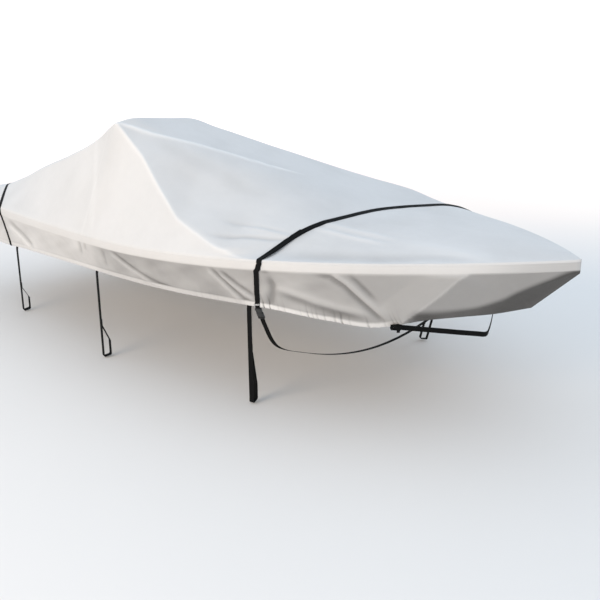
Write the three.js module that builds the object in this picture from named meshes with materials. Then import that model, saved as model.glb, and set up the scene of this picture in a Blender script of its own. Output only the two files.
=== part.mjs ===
// A fitted cloth cover for an open boat whose console stands on the starboard side.
// Millimetres. X runs to the bow, Y to port and Z up. Everything is laid out from the bow tip, at the
// lower edge of the gunwale band, with stations counted aft from it. The last group then moves the
// whole cover so that the origin lies under the console top, where the cover is held up.

import * as THREE from 'three';

// Driving dimensions of the hull edge that the cover is cut to
const LENGTH = 4600;
const HALF_BEAM = 1100;
const FULL_BEAM_STATION = 2403;
const BOW_FULLNESS = 2.076;
const BOW_POINT = 0.967;
const STERN_TAPER = 0.016;
const SHEER_FALL = 188;
const SHEER_STATION = 3649;
const SHEER_CURVE = 1.768;
const STERN_CORNER = 60;
const NOSE_STATION = 6;
const NOSE_ROUND = 12;

// Cloth, seams and the gunwale band
const CLOTH = 2;
const SEAM_GAP = 0.3;
const SEAM_HEIGHT = 38;
const SHOULDER_HEIGHT = 50;
const SHOULDER_INSET = 4;
const SHOULDER_SOFT = 12;
const PANEL_SEAM_STATION = 2620;
const BAND_EDGE = 3;
const STEM_END_STATION = 249;
const STEM_RAKE = 0.95;
const STEM_BLUNT = 12;

// Webbing
const WEBBING_WIDTH = 27;
const WEBBING = 2;
const STRAP_LIFT = 1.6;
const STRAP_REACH = 4;
const STRAP_PASSES = 5;
const STRAP_START = 1300;
const BOW_STRAP_STATION = 1250;
const BOW_STRAP_SKEW = 0.05;
const BOW_STRAP_SKEW_STARBOARD = 0.012;
const BOW_STRAP_LEAN = 66;
const STERN_STRAP_STATION = 4030;
const STERN_STRAP_SKEW = 245;
const STERN_STRAP_BEND = 880;
const STERN_STRAP_RUN = 195;
const STERN_STRAP_LEAN = 45;
const BELLY_LEAD = 45;
const BELLY_STEPS = 30;
const STEM_STRAP_STATION = 724;
const STEM_STRAP_FRONT = 491;
const STEM_STRAP_HEIGHT = -445;
const STEM_STRAP_HANG = 12.6;
const STEM_STRAP_HALF = { back: 22, side: 58, up: 10 };
const STEM_STEPS = 22;
const TIE_GAP = 0.9;
const LOOP_DEPTH = 52;
const LOOP_HEIGHT = 105;
const LOOP_CORNER = 8;

// Buckles and sliders
const BUCKLE_THICK = 11;
const BUCKLE_TAIL = 6;
const SOCKET_LENGTH = 44;
const PLUG_LENGTH = 34;
const SLIDER_WIDTH = 33;
const SLIDER_LENGTH = 9;
const SLIDER_THICK = 4;
const SLIDER_RISE = 20;

// The origin, under the middle of the console top
const ORIGIN_STATION = 2590;
const ORIGIN_Y = -575;
const ORIGIN_Z = 519;

const STARBOARD = -1;
const PORT = 1;

const clothTop = new THREE.MeshStandardMaterial({ color: 0xdfe1e3, roughness: 0.85, metalness: 0 });
const clothSkirt = new THREE.MeshStandardMaterial({ color: 0xd9d7d3, roughness: 0.85, metalness: 0 });
const webbing = new THREE.MeshStandardMaterial({ color: 0x17181a, roughness: 0.7, metalness: 0 });
const blackPlastic = new THREE.MeshStandardMaterial({ color: 0x1d1e20, roughness: 0.4, metalness: 0 });
const paleMetal = new THREE.MeshStandardMaterial({ color: 0xb9bab8, roughness: 0.35, metalness: 0.8 });

// Curves through a table's column

function smoothCurve(stations, values) {
  const last = stations.length - 1;
  const rise = [];
  for (let i = 0; i < last; i++) {
    rise.push((values[i + 1] - values[i]) / (stations[i + 1] - stations[i]));
  }
  const slope = [rise[0]];
  for (let i = 1; i < last; i++) {
    const turning = rise[i - 1] * rise[i] <= 0;
    slope.push(turning ? 0 : (2 * rise[i - 1] * rise[i]) / (rise[i - 1] + rise[i]));
  }
  slope.push(rise[last - 1]);
  return (s) => {
    if (s <= stations[0]) return values[0];
    if (s >= stations[last]) return values[last];
    let i = 0;
    while (s > stations[i + 1]) i++;
    const span = stations[i + 1] - stations[i];
    const t = (s - stations[i]) / span;
    const u = 1 - t;
    return values[i] * (1 + 2 * t) * u * u + values[i + 1] * t * t * (3 - 2 * t)
      + span * (slope[i] * t * u * u - slope[i + 1] * t * t * u);
  };
}

function columnsOf(names, rows) {
  const stations = rows.map((row) => row[0]);
  const columns = {};
  names.slice(1).forEach((name, k) => {
    columns[name] = smoothCurve(stations, rows.map((row) => row[k + 1]));
  });
  return columns;
}

// The gunwale: half beam and height of the band's lower edge at a station

function halfBeam(s) {
  const along = Math.min(s / FULL_BEAM_STATION, 1);
  const full = HALF_BEAM * (1 - (1 - along) ** BOW_FULLNESS) ** BOW_POINT;
  let half = full - STERN_TAPER * Math.max(s - FULL_BEAM_STATION, 0);
  const intoCorner = s - (LENGTH - STERN_CORNER);
  if (intoCorner > 0) half -= STERN_CORNER - Math.sqrt(Math.max(STERN_CORNER ** 2 - intoCorner ** 2, 0));
  const intoNose = (NOSE_STATION + NOSE_ROUND - s) / NOSE_ROUND;
  if (intoNose > 0) half *= Math.sqrt(Math.max(1 - intoNose ** 2, 0));
  return half;
}

function sheer(s) {
  const along = Math.min(s / SHEER_STATION, 1);
  return -SHEER_FALL * (1 - (1 - along) ** SHEER_CURVE);
}

// The top: one row for each cross-section. Ridge is the fold on the starboard side, crown the line
// from the console's fore corner to the foredeck, and port the crest that falls to the port gunwale.
// Each bulge is the camber of the stretch between two of them, and ridgeSoft rounds the ridge.

const TOP_COLUMNS = ['s', 'ridgeY', 'ridgeZ', 'crownY', 'crownZ', 'portY', 'portZ', 'foreBulge',
  'crownBulge', 'portBulge', 'ridgeSoft'];
const TOP_ROWS = [
  [6, -3, 48.5, 0, 49, 3, 48.5, 0, 0, 0, 5],
  [350, -256, 30, -10, 58, 208, 43, 3, 3, 2, 120],
  [700, -462, 9, -35, 66, 373, 37, 8, 6, 3, 160],
  [1000, -608, -6, -100, 82, 495, 36, 15, 10, 4, 180],
  [1260, -725, -22, -200, 91, 600, 40, 28, 13, 5, 170],
  [1500, -928, -22, -325, 172, 590, 97, 4, 6, 0, 90],
  [1700, -946, 36, -380, 238, 424, 167, -10, 2, -6, 70],
  [1850, -946, 84, -430, 292, 300, 223, -16, 0, -14, 60],
  [1950, -931, 146, -480, 326, 217, 262, -16, 0, -14, 50],
  [2060, -909, 208, -540, 362, 125, 305, -8, 0, -14, 42],
  [2280, -872, 361, -640, 432, -57, 391, -4, 0, -14, 36],
  [2400, -860, 424, -705, 472, -157, 439, -2, 0, -14, 34],
  [2500, -860, 488, -738, 514, -240, 480, 0, 0, -14, 32],
  [2565, -860, 516, -745, 537, -290, 508, 0, 0, -14, 32],
  [2640, -860, 484, -740, 502, -295, 489, 0, 0, -14, 36],
  [2750, -860, 421, -700, 433, -240, 433, 0, -4, -14, 44],
  [2900, -862, 354, -600, 362, -130, 364, 0, -8, -14, 55],
  [3150, -868, 266, -500, 271, 50, 276, 0, -12, -14, 70],
  [3450, -875, 168, -400, 171, 260, 174, 0, -12, -14, 80],
  [3800, -888, 42, -300, 48, 500, 52, 0, -8, -10, 90],
  [4150, -910, -66, -200, -57, 740, -62, 0, -4, -5, 90],
  [4450, -955, -122, -100, -118, 930, -122, 0, 0, 0, 80],
  [4600, -975, -137, 0, -136, 975, -137, 0, 0, 0, 40],
];
const top = columnsOf(TOP_COLUMNS, TOP_ROWS);
const CROWN_SOFT = 150;
const PORT_SOFT = 90;
const SIDE_BULGE = -6;
const STERN_ROUND = SHOULDER_HEIGHT - SEAM_HEIGHT;
const CORNER_SHARE = 0.45;
const CAMBER_SPAN = 300;

// How many points each corner and each stretch of a section takes, from starboard to port
const SECTION_CORNERS = [2, 3, 2, 2, 2];
const SECTION_STRETCHES = [0, 2, 3, 3, 2, 0];

function sternDrop(s) {
  const into = Math.max(s - (LENGTH - STERN_ROUND), 0);
  return STERN_ROUND - Math.sqrt(Math.max(STERN_ROUND ** 2 - into ** 2, 0));
}

function topControls(s) {
  const half = halfBeam(s);
  const base = sheer(s);
  const inset = Math.min(SHOULDER_INSET, half / 3);
  const edge = Math.min(1, half / 8);
  const shoulder = base + SHOULDER_HEIGHT;
  const corners = [
    [-(half - edge), base + SEAM_HEIGHT],
    [-(half - inset), shoulder],
    [top.ridgeY(s), top.ridgeZ(s)],
    [top.crownY(s), top.crownZ(s)],
    [top.portY(s), top.portZ(s)],
    [half - inset, shoulder],
    [half - edge, base + SEAM_HEIGHT],
  ];
  const drop = sternDrop(s);
  const fullness = (half / HALF_BEAM) * (1 - drop / STERN_ROUND);
  return {
    points: corners.map(([y, z], k) => new THREE.Vector2(y, k === 0 || k === 6 ? z : z - drop)),
    soft: [SHOULDER_SOFT, top.ridgeSoft(s), CROWN_SOFT, PORT_SOFT, SHOULDER_SOFT],
    bulge: [0, SIDE_BULGE * fullness, top.foreBulge(s), top.crownBulge(s), top.portBulge(s), 0],
  };
}

// A cross-section of the top from the starboard seam to the port seam: straight stretches with a
// little camber, joined by rounded corners
function topSection(s, corners = SECTION_CORNERS, stretches = SECTION_STRETCHES) {
  const { points, soft, bulge } = topControls(s);
  const spans = points.slice(1).map((point, k) => point.clone().sub(points[k]));
  const lengths = spans.map((span) => span.length());
  const cut = soft.map((half, k) => Math.min(half, CORNER_SHARE * lengths[k], CORNER_SHARE * lengths[k + 1]));
  const onStretch = (k, t) => {
    const camber = (4 * t * (1 - t) * bulge[k]) / Math.max(lengths[k], CAMBER_SPAN);
    const point = points[k].clone().addScaledVector(spans[k], t);
    return point.add(new THREE.Vector2(-spans[k].y * camber, spans[k].x * camber));
  };
  const section = [points[0]];
  for (let k = 0; k < spans.length; k++) {
    const from = k === 0 ? 0 : cut[k - 1] / lengths[k];
    const to = k === spans.length - 1 ? 1 : 1 - cut[k] / lengths[k];
    for (let i = 1; i <= stretches[k]; i++) {
      section.push(onStretch(k, from + ((to - from) * i) / (stretches[k] + 1)));
    }
    if (k < soft.length) {
      const before = onStretch(k, to);
      const after = onStretch(k + 1, cut[k] / lengths[k + 1]);
      const round = new THREE.QuadraticBezierCurve(before, points[k + 1], after);
      section.push(...round.getPoints(corners[k]));
    }
  }
  section.push(points[points.length - 1]);
  return section.map((point) => new THREE.Vector3(-s, point.x, point.y));
}

// The skirt: how far it hangs below the band, and how far it leans in under it

const SKIRT_COLUMNS = ['s', 'drop', 'lean'];
const SKIRT_ROWS = [
  [249, 223, 1.05],
  [400, 254, 0.92],
  [600, 268, 0.69],
  [820, 312, 0.5],
  [1000, 278, 0.42],
  [1300, 218, 0.32],
  [1700, 191, 0.26],
  [2300, 170, 0.21],
  [2800, 177, 0.2],
  [3500, 203, 0.19],
  [3900, 229, 0.18],
  [4600, 230, 0.18],
];
const skirt = columnsOf(SKIRT_COLUMNS, SKIRT_ROWS);

// The skirt's main folds, each a straight trough, or a ridge where its depth is negative, between two
// places given by station and distance below the band
const FOLD_COLUMNS = ['s0', 'd0', 's1', 'd1', 'depth', 'width'];
const STARBOARD_FOLDS = [
  [423, 20, 676, 280, -12, 42],
  [887, 20, 780, 236, 10, 30],
  [823, 18, 772, 130, 7, 24],
  [1014, 166, 860, 237, 8, 26],
  [1178, 23, 1233, 150, 11, 30],
  [1482, 19, 1412, 138, 8, 26],
  [1549, 25, 1425, 150, 8, 26],
  [2233, 16, 1963, 139, 9, 34],
  [2668, 5, 2678, 70, 6, 26],
  [2764, 5, 2831, 110, 6, 26],
  [3649, 35, 3403, 134, 7, 40],
];
const PORT_FOLDS = [
  [430, 20, 670, 275, -12, 42],
  [905, 20, 800, 230, 9, 34],
  [1510, 22, 1400, 145, 8, 30],
  [2310, 16, 2080, 140, 8, 36],
  [3300, 20, 3180, 130, 7, 40],
];
const FOLD_KEEP_OUT = 45;

function foldDepth(folds, s, d) {
  let depth = 0;
  for (const row of folds) {
    const fold = Object.fromEntries(FOLD_COLUMNS.map((name, k) => [name, row[k]]));
    const along = new THREE.Vector2(fold.s1 - fold.s0, fold.d1 - fold.d0);
    const from = new THREE.Vector2(s - fold.s0, d - fold.d0);
    const t = THREE.MathUtils.clamp(from.dot(along) / along.lengthSq(), 0, 1);
    const away = from.addScaledVector(along, -t).length() / fold.width;
    depth += fold.depth * Math.exp(-away * away);
  }
  return depth;
}

// Near the stem the skirt turns under along a crease: its distance below the band, and how far the
// cloth stands out there from a straight lean
const TUCK_COLUMNS = ['s', 'depth', 'reach'];
const TUCK_ROWS = [
  [0, 6, 0],
  [163, 79, 24],
  [331, 164, 22],
  [488, 229, 9],
  [560, 262, 0],
];
const tuck = columnsOf(TUCK_COLUMNS, TUCK_ROWS);

function tuckReach(s, d, drop) {
  const depth = tuck.depth(s);
  return tuck.reach(s) * Math.max(0, Math.min(d / depth, (drop - d) / (drop - depth)));
}

function skirtDrop(s) {
  return s < STEM_END_STATION ? sheer(s) + STEM_BLUNT + STEM_RAKE * s : skirt.drop(s);
}

function skirtLean(s) {
  return s < STEM_END_STATION ? (halfBeam(s) - SEAM_GAP / 2) / skirtDrop(s) : skirt.lean(s);
}

const SKIRT_SHARES = [0.02, 0.2, 0.4, 0.6, 0.8, 1];

// A place on the hull edge: plan point, station for the tables, and the level direction inward
function sidePlace(s, side) {
  const half = Math.max(halfBeam(s), SEAM_GAP / 2);
  return { s, point: new THREE.Vector2(-s, side * half), inward: new THREE.Vector2(0, -side) };
}

function sternPlaces(side, cornerSteps, sternSteps) {
  const places = [];
  const start = LENGTH - STERN_CORNER;
  const middle = halfBeam(start) - STERN_CORNER;
  for (let i = 1; i <= cornerSteps; i++) {
    const turn = (Math.PI / 2) * (i / cornerSteps);
    const outward = new THREE.Vector2(-Math.sin(turn), side * Math.cos(turn));
    const point = new THREE.Vector2(-start, side * middle).addScaledVector(outward, STERN_CORNER);
    places.push({ s: LENGTH, point, inward: outward.clone().negate() });
  }
  for (let i = 1; i <= sternSteps; i++) {
    const y = THREE.MathUtils.lerp(middle, SEAM_GAP / 2, i / sternSteps);
    places.push({ s: LENGTH, point: new THREE.Vector2(-LENGTH, side * y), inward: new THREE.Vector2(1, 0) });
  }
  return places;
}

// Points of the skirt at one place, from the seam over the band's edge to the hem
function skirtRows(place, folds) {
  const { s, point, inward } = place;
  const base = sheer(s);
  const drop = skirtDrop(s);
  const lean = skirtLean(s);
  const at = (inset, z) => new THREE.Vector3(point.x + inward.x * inset, point.y + inward.y * inset, z);
  const edge = Math.min(1, halfBeam(s) / 8);
  const rows = [at(edge, base + SEAM_HEIGHT - SEAM_GAP), at(0, base + BAND_EDGE)];
  const reach = lean * drop;
  for (const share of SKIRT_SHARES) {
    const d = share * drop;
    const fold = share === 1 || s < STEM_END_STATION ? 0 : foldDepth(folds, s, d);
    const inset = lean * d + fold - tuckReach(s, d, drop);
    rows.push(at(Math.min(inset, reach + FOLD_KEEP_OUT), base - d));
  }
  return rows;
}

// A sheet of cloth: a closed shell of the cloth's thickness under a grid of outer points

function sheetGeometry(outer, outwardSign, trueUp, centreSide = 0) {
  const rows = outer.length;
  const columns = outer[0].length;
  const normalAt = (i, j) => {
    const along = outer[Math.min(i + 1, rows - 1)][j].clone().sub(outer[Math.max(i - 1, 0)][j]);
    const across = outer[i][Math.min(j + 1, columns - 1)].clone().sub(outer[i][Math.max(j - 1, 0)]);
    const normal = across.cross(along).normalize().multiplyScalar(outwardSign);
    trueUp(normal, i, j, rows - 1, columns - 1);
    return normal.normalize();
  };
  const innerAt = (i, j) => {
    const inner = outer[i][j].clone().addScaledVector(normalAt(i, j), -CLOTH);
    const past = centreSide === 0 ? 0 : SEAM_GAP / 2 - centreSide * inner.y;
    if (past > 0) {
      inner.y = centreSide * (SEAM_GAP / 2);
      if (j > 0) inner.z += CLOTH / 2;
    }
    return inner;
  };
  const positions = [];
  const pushAll = (pointAt) => {
    for (let i = 0; i < rows; i++) for (let j = 0; j < columns; j++) positions.push(...pointAt(i, j).toArray());
  };
  pushAll((i, j) => outer[i][j]);
  pushAll(innerAt);
  const index = [];
  const quad = (a, b, c, d) => {
    if (outwardSign > 0) index.push(a, b, c, a, c, d);
    else index.push(a, c, b, a, d, c);
  };
  const out = (i, j) => i * columns + j;
  const inn = (i, j) => rows * columns + i * columns + j;
  for (let i = 0; i + 1 < rows; i++) {
    for (let j = 0; j + 1 < columns; j++) {
      quad(out(i, j), out(i, j + 1), out(i + 1, j + 1), out(i + 1, j));
      quad(inn(i, j), inn(i + 1, j), inn(i + 1, j + 1), inn(i, j + 1));
    }
    quad(out(i, 0), out(i + 1, 0), inn(i + 1, 0), inn(i, 0));
    quad(out(i + 1, columns - 1), out(i, columns - 1), inn(i, columns - 1), inn(i + 1, columns - 1));
  }
  for (let j = 0; j + 1 < columns; j++) {
    quad(out(0, j + 1), out(0, j), inn(0, j), inn(0, j + 1));
    quad(out(rows - 1, j), out(rows - 1, j + 1), inn(rows - 1, j + 1), inn(rows - 1, j));
  }
  const geometry = new THREE.BufferGeometry();
  geometry.setAttribute('position', new THREE.Float32BufferAttribute(positions, 3));
  geometry.setIndex(index);
  geometry.computeVertexNormals();
  return geometry;
}

function named(name, geometry, material) {
  const mesh = new THREE.Mesh(geometry, material);
  mesh.name = name;
  return mesh;
}

// Stations at even steps from each stop to the next
function stepped(stops) {
  const stations = [stops[0][0]];
  for (let k = 1; k < stops.length; k++) {
    const [from] = stops[k - 1];
    const [to, step] = stops[k];
    const count = Math.max(1, Math.round((to - from) / step));
    for (let i = 1; i <= count; i++) stations.push(from + ((to - from) * i) / count);
  }
  return stations;
}

const NOSE_TOP = 7;
const FORE_STATIONS = stepped([[NOSE_TOP], [18, 5.5], [120, 51], [1170, 150], [1345, 35], [1900, 80],
  [2400, 90], [2500, 50], [PANEL_SEAM_STATION - SEAM_GAP / 2, 36]]);
const AFT_STATIONS = stepped([[PANEL_SEAM_STATION + SEAM_GAP / 2], [2800, 60], [3750, 160], [4060, 39],
  [4480, 140], [LENGTH - STERN_ROUND, 36], [LENGTH - 4, 8], [LENGTH, 4]]);

const foreGrid = FORE_STATIONS.map((s) => topSection(s));
const aftGrid = AFT_STATIONS.map((s) => topSection(s));

const FORE_SKIRT_STOPS = (step) => [[NOSE_STATION], [8, 2], [12, 4], [18, 6], [30, 12],
  [STEM_END_STATION, 55], [2350, step], [PANEL_SEAM_STATION - SEAM_GAP / 2, 55]];
const AFT_SKIRT_STOPS = [[PANEL_SEAM_STATION + SEAM_GAP / 2], [2900, 55], [3350, 150], [3700, 70],
  [LENGTH - STERN_CORNER, 210]];
const FOLD_STEP = { [STARBOARD]: 42, [PORT]: 70 };
const SKIRT_FOLDS = { [STARBOARD]: STARBOARD_FOLDS, [PORT]: PORT_FOLDS };
const CORNER_STEPS = 5;
const STERN_STEPS = 4;

function foreSkirtGrid(side) {
  const places = stepped(FORE_SKIRT_STOPS(FOLD_STEP[side])).map((s) => sidePlace(s, side));
  return places.map((place) => skirtRows(place, SKIRT_FOLDS[side]));
}

function aftSkirtGrid(side) {
  const places = stepped(AFT_SKIRT_STOPS).map((s) => sidePlace(s, side));
  places.push(...sternPlaces(side, CORNER_STEPS, STERN_STEPS));
  return places.map((place) => skirtRows(place, SKIRT_FOLDS[side]));
}

// Webbing laid along a path: each step gives the middle of its under side, its way across and outward

function strapGeometry(steps, width = WEBBING_WIDTH) {
  const positions = [];
  const half = width / 2;
  for (const { middle, outward, across } of steps) {
    for (const [sideways, lift] of [[-half, 0], [half, 0], [half, WEBBING], [-half, WEBBING]]) {
      const corner = middle.clone().addScaledVector(across, sideways).addScaledVector(outward, lift);
      positions.push(...corner.toArray());
    }
  }
  const index = [];
  for (let i = 0; i + 1 < steps.length; i++) {
    for (let k = 0; k < 4; k++) {
      const a = 4 * i + k;
      const b = 4 * i + ((k + 1) % 4);
      index.push(a, b + 4, b, a, a + 4, b + 4);
    }
  }
  const end = 4 * (steps.length - 1);
  index.push(0, 1, 2, 0, 2, 3, end, end + 2, end + 1, end, end + 3, end + 2);
  const geometry = new THREE.BufferGeometry();
  geometry.setAttribute('position', new THREE.Float32BufferAttribute(positions, 3));
  geometry.setIndex(index);
  geometry.computeVertexNormals();
  return geometry;
}

function framed(middles, acrossAt) {
  return middles.map((middle, i) => {
    const after = middles[Math.min(i + 1, middles.length - 1)];
    const before = middles[Math.max(i - 1, 0)];
    const along = after.clone().sub(before).normalize();
    const across = acrossAt(i, middle);
    across.addScaledVector(along, -across.dot(along)).normalize();
    return { middle, along, across, outward: across.clone().cross(along) };
  });
}

// An over-strap lies on the cloth from the starboard hem to the port hem. The station of each of its
// points follows from the rule it is given.
function overStrapSteps(stationOf) {
  const lastRow = SKIRT_SHARES.length + 1;
  const lastColumn = foreGrid[0].length - 1;
  const places = [];
  for (let k = lastRow; k >= 0; k--) {
    places.push({ depth: k / lastRow, at: (s) => skirtRows(sidePlace(s, STARBOARD), STARBOARD_FOLDS)[k] });
  }
  for (let j = 1; j < lastColumn; j++) places.push({ depth: 0, at: (s) => topSection(s)[j] });
  for (let k = 0; k <= lastRow; k++) {
    places.push({ depth: k / lastRow, at: (s) => skirtRows(sidePlace(s, PORT), PORT_FOLDS)[k] });
  }
  const stations = places.map(({ at, depth }) => {
    let s = STRAP_START;
    for (let pass = 0; pass < STRAP_PASSES; pass++) s = stationOf(at(s).y, depth);
    return s;
  });
  const onCloth = places.map(({ at }, i) => at(stations[i]));
  const fore = places.map(({ at }, i) => at(stations[i] - STRAP_REACH).sub(at(stations[i] + STRAP_REACH)));
  const steps = framed(onCloth, (i) => fore[i].clone());
  for (const step of steps) step.middle = step.middle.clone().addScaledVector(step.outward, STRAP_LIFT);
  return steps;
}

// Each end of a strap is drawn on past the hem, towards the place that pulls it
function drawnOut(steps, length, pulls) {
  const [starboardEnd, portEnd] = [[steps[0], -1], [steps[steps.length - 1], 1]].map(([step, direction], k) => {
    const pull = pulls[k].clone().sub(step.middle).normalize();
    const across = step.across.clone().addScaledVector(pull, -step.across.dot(pull)).normalize();
    const along = pull.clone().multiplyScalar(direction);
    const middle = step.middle.clone().addScaledVector(pull, length);
    return { middle, along, across, outward: across.clone().cross(along) };
  });
  return [starboardEnd, ...steps, portEnd];
}

const bowStation = (y, depth) => {
  const onTop = BOW_STRAP_STATION - (y > 0 ? BOW_STRAP_SKEW : BOW_STRAP_SKEW_STARBOARD) * y;
  return y > 0 ? onTop : onTop + BOW_STRAP_LEAN * depth;
};
const sternStation = (y, depth) => {
  const outboard = THREE.MathUtils.clamp((-y - STERN_STRAP_BEND) / STERN_STRAP_RUN, 0, 1);
  const gunwale = y > 0 ? 0 : STERN_STRAP_SKEW;
  const onTop = STERN_STRAP_STATION - STERN_STRAP_SKEW * outboard;
  return depth === 0 ? onTop : STERN_STRAP_STATION - gunwale - STERN_STRAP_LEAN * depth;
};
const CHINE_PLACES = [new THREE.Vector3(-1363, -700, -566), new THREE.Vector3(-1225, 700, -566)];
const bowSteps = drawnOut(overStrapSteps(bowStation), BUCKLE_TAIL, CHINE_PLACES);
const sternSteps = overStrapSteps(sternStation);

// Buckles below the fore over-strap's two ends, and a slider on it above each hem

const BUCKLE_OUTLINES = {
  socket: [[-15, 0], [15, 0], [18, 8], [18, 44], [-18, 44], [-18, 8]],
  plug: [[-18, 0], [18, 0], [18, 12], [15, 34], [-15, 34], [-18, 12]],
};

function outlineBlock(outline, thickness) {
  const shape = new THREE.Shape(outline.map(([x, y]) => new THREE.Vector2(x, y)));
  return new THREE.ExtrudeGeometry(shape, { depth: thickness, bevelEnabled: false });
}

// Sets a block with its length along the strap, its thickness outward and its root a little way along
function onStrap(mesh, step, direction, distance, lift) {
  const along = step.along.clone().multiplyScalar(direction);
  const across = along.clone().cross(step.outward);
  mesh.quaternion.setFromRotationMatrix(new THREE.Matrix4().makeBasis(across, along, step.outward));
  mesh.position.copy(step.middle).addScaledVector(along, distance).addScaledVector(step.outward, lift);
  return mesh;
}

function strapFittings(sideName, step, direction, hemStep) {
  const fittings = new THREE.Group();
  const lift = (WEBBING - BUCKLE_THICK) / 2;
  const socket = named(`buckle_socket_${sideName}`, outlineBlock(BUCKLE_OUTLINES.socket, BUCKLE_THICK), blackPlastic);
  const plug = named(`buckle_plug_${sideName}`, outlineBlock(BUCKLE_OUTLINES.plug, BUCKLE_THICK), blackPlastic);
  const bar = [[-SLIDER_WIDTH / 2, 0], [SLIDER_WIDTH / 2, 0], [SLIDER_WIDTH / 2, SLIDER_LENGTH],
    [-SLIDER_WIDTH / 2, SLIDER_LENGTH]];
  const slider = named(`slider_${sideName}`, outlineBlock(bar, SLIDER_THICK), paleMetal);
  fittings.add(onStrap(socket, step, direction, SEAM_GAP, lift));
  fittings.add(onStrap(plug, step, direction, 2 * SEAM_GAP + SOCKET_LENGTH, lift));
  fittings.add(onStrap(slider, hemStep, direction, -SLIDER_RISE, WEBBING + SEAM_GAP));
  return fittings;
}

const bowEnds = [
  [bowSteps[0], -1, bowSteps[1]],
  [bowSteps[bowSteps.length - 1], 1, bowSteps[bowSteps.length - 2]],
];

// The belly strap hangs under the hull between the two buckles; its rows give the half width and the
// height of the hanging curve
const BELLY_ROWS = [[700, -566], [500, -655], [250, -722]];
const BELLY_KEEL = -745;

function bellyStrapSteps() {
  const reach = 3 * SEAM_GAP + SOCKET_LENGTH + PLUG_LENGTH;
  const [starboardEnd, portEnd] = bowEnds.map(([step, direction]) => (
    step.middle.clone().addScaledVector(step.along, direction * reach)));
  const [starboardNext, portNext] = bowEnds.map(([step, direction]) => (
    step.middle.clone().addScaledVector(step.along, direction * (reach + BELLY_LEAD))));
  const xAt = (y) => THREE.MathUtils.mapLinear(y, starboardEnd.y, portEnd.y, starboardEnd.x, portEnd.x);
  const hanging = [
    ...BELLY_ROWS.map(([y, z]) => [-y, z]), [0, BELLY_KEEL], ...BELLY_ROWS.map(([y, z]) => [y, z]).reverse(),
  ].map(([y, z]) => new THREE.Vector3(xAt(y), y, z));
  const curve = new THREE.CatmullRomCurve3([starboardEnd, starboardNext, ...hanging, portNext, portEnd]);
  const middles = curve.getSpacedPoints(BELLY_STEPS);
  const [starboardAcross, portAcross] = bowEnds.map(([step]) => step.across);
  const steps = framed(middles, (i) => starboardAcross.clone().lerp(portAcross, i / BELLY_STEPS));
  [steps[0], steps[BELLY_STEPS]].forEach((step, k) => {
    step.across = bowEnds[k][0].across.clone();
    step.outward = bowEnds[k][0].outward.clone().negate();
  });
  return steps;
}

// The stem strap runs from one hem corner round the stem to the other

function stemStrapSteps() {
  const corner = (side) => hemEdge(STEM_STRAP_STATION, side).middle.add(new THREE.Vector3(0, 0, -STEM_STRAP_HANG));
  const { back, side: wide, up } = STEM_STRAP_HALF;
  const halfway = (side) => new THREE.Vector3(-(STEM_STRAP_FRONT + back), side * wide, STEM_STRAP_HEIGHT + up);
  const front = new THREE.Vector3(-STEM_STRAP_FRONT, 0, STEM_STRAP_HEIGHT);
  const curve = new THREE.CatmullRomCurve3([corner(STARBOARD), halfway(STARBOARD), front, halfway(PORT), corner(PORT)],
    false, 'centripetal');
  const middles = curve.getSpacedPoints(STEM_STEPS);
  return framed(middles, () => new THREE.Vector3(0, 0, 1));
}

// The hem's lower edge at a station: the middle of its thickness and the way along it
function hemEdge(s, side) {
  const rowsAt = (station) => skirtRows(sidePlace(station, side), SKIRT_FOLDS[side]);
  const rows = rowsAt(s);
  const hem = rows[rows.length - 1];
  const fore = rowsAt(s - STRAP_REACH);
  const aft = rowsAt(s + STRAP_REACH);
  const along = fore[rows.length - 1].clone().sub(aft[rows.length - 1]).normalize();
  const down = hem.clone().sub(rows[rows.length - 2]).normalize();
  const outward = down.clone().cross(along).multiplyScalar(-side).normalize();
  return { middle: hem.clone().addScaledVector(outward, -CLOTH / 2), along, outward };
}

// Tie-downs: webbing that hangs from the hem and ends in a loop. Each row gives the station at the hem
// and the place of the loop's lower end, by station, half width and height, and where the loop begins.

const TIE_COLUMNS = ['name', 's', 'endStation', 'endY', 'endZ', 'split'];
const TIE_ROWS = [
  ['bow', 1372, 1470, 760, -930, 0.45],
  ['mid', 2540, 2635, 1000, -930, 0.62],
  ['stern', 3655, 3835, 953, -930, 0.62],
];

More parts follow.
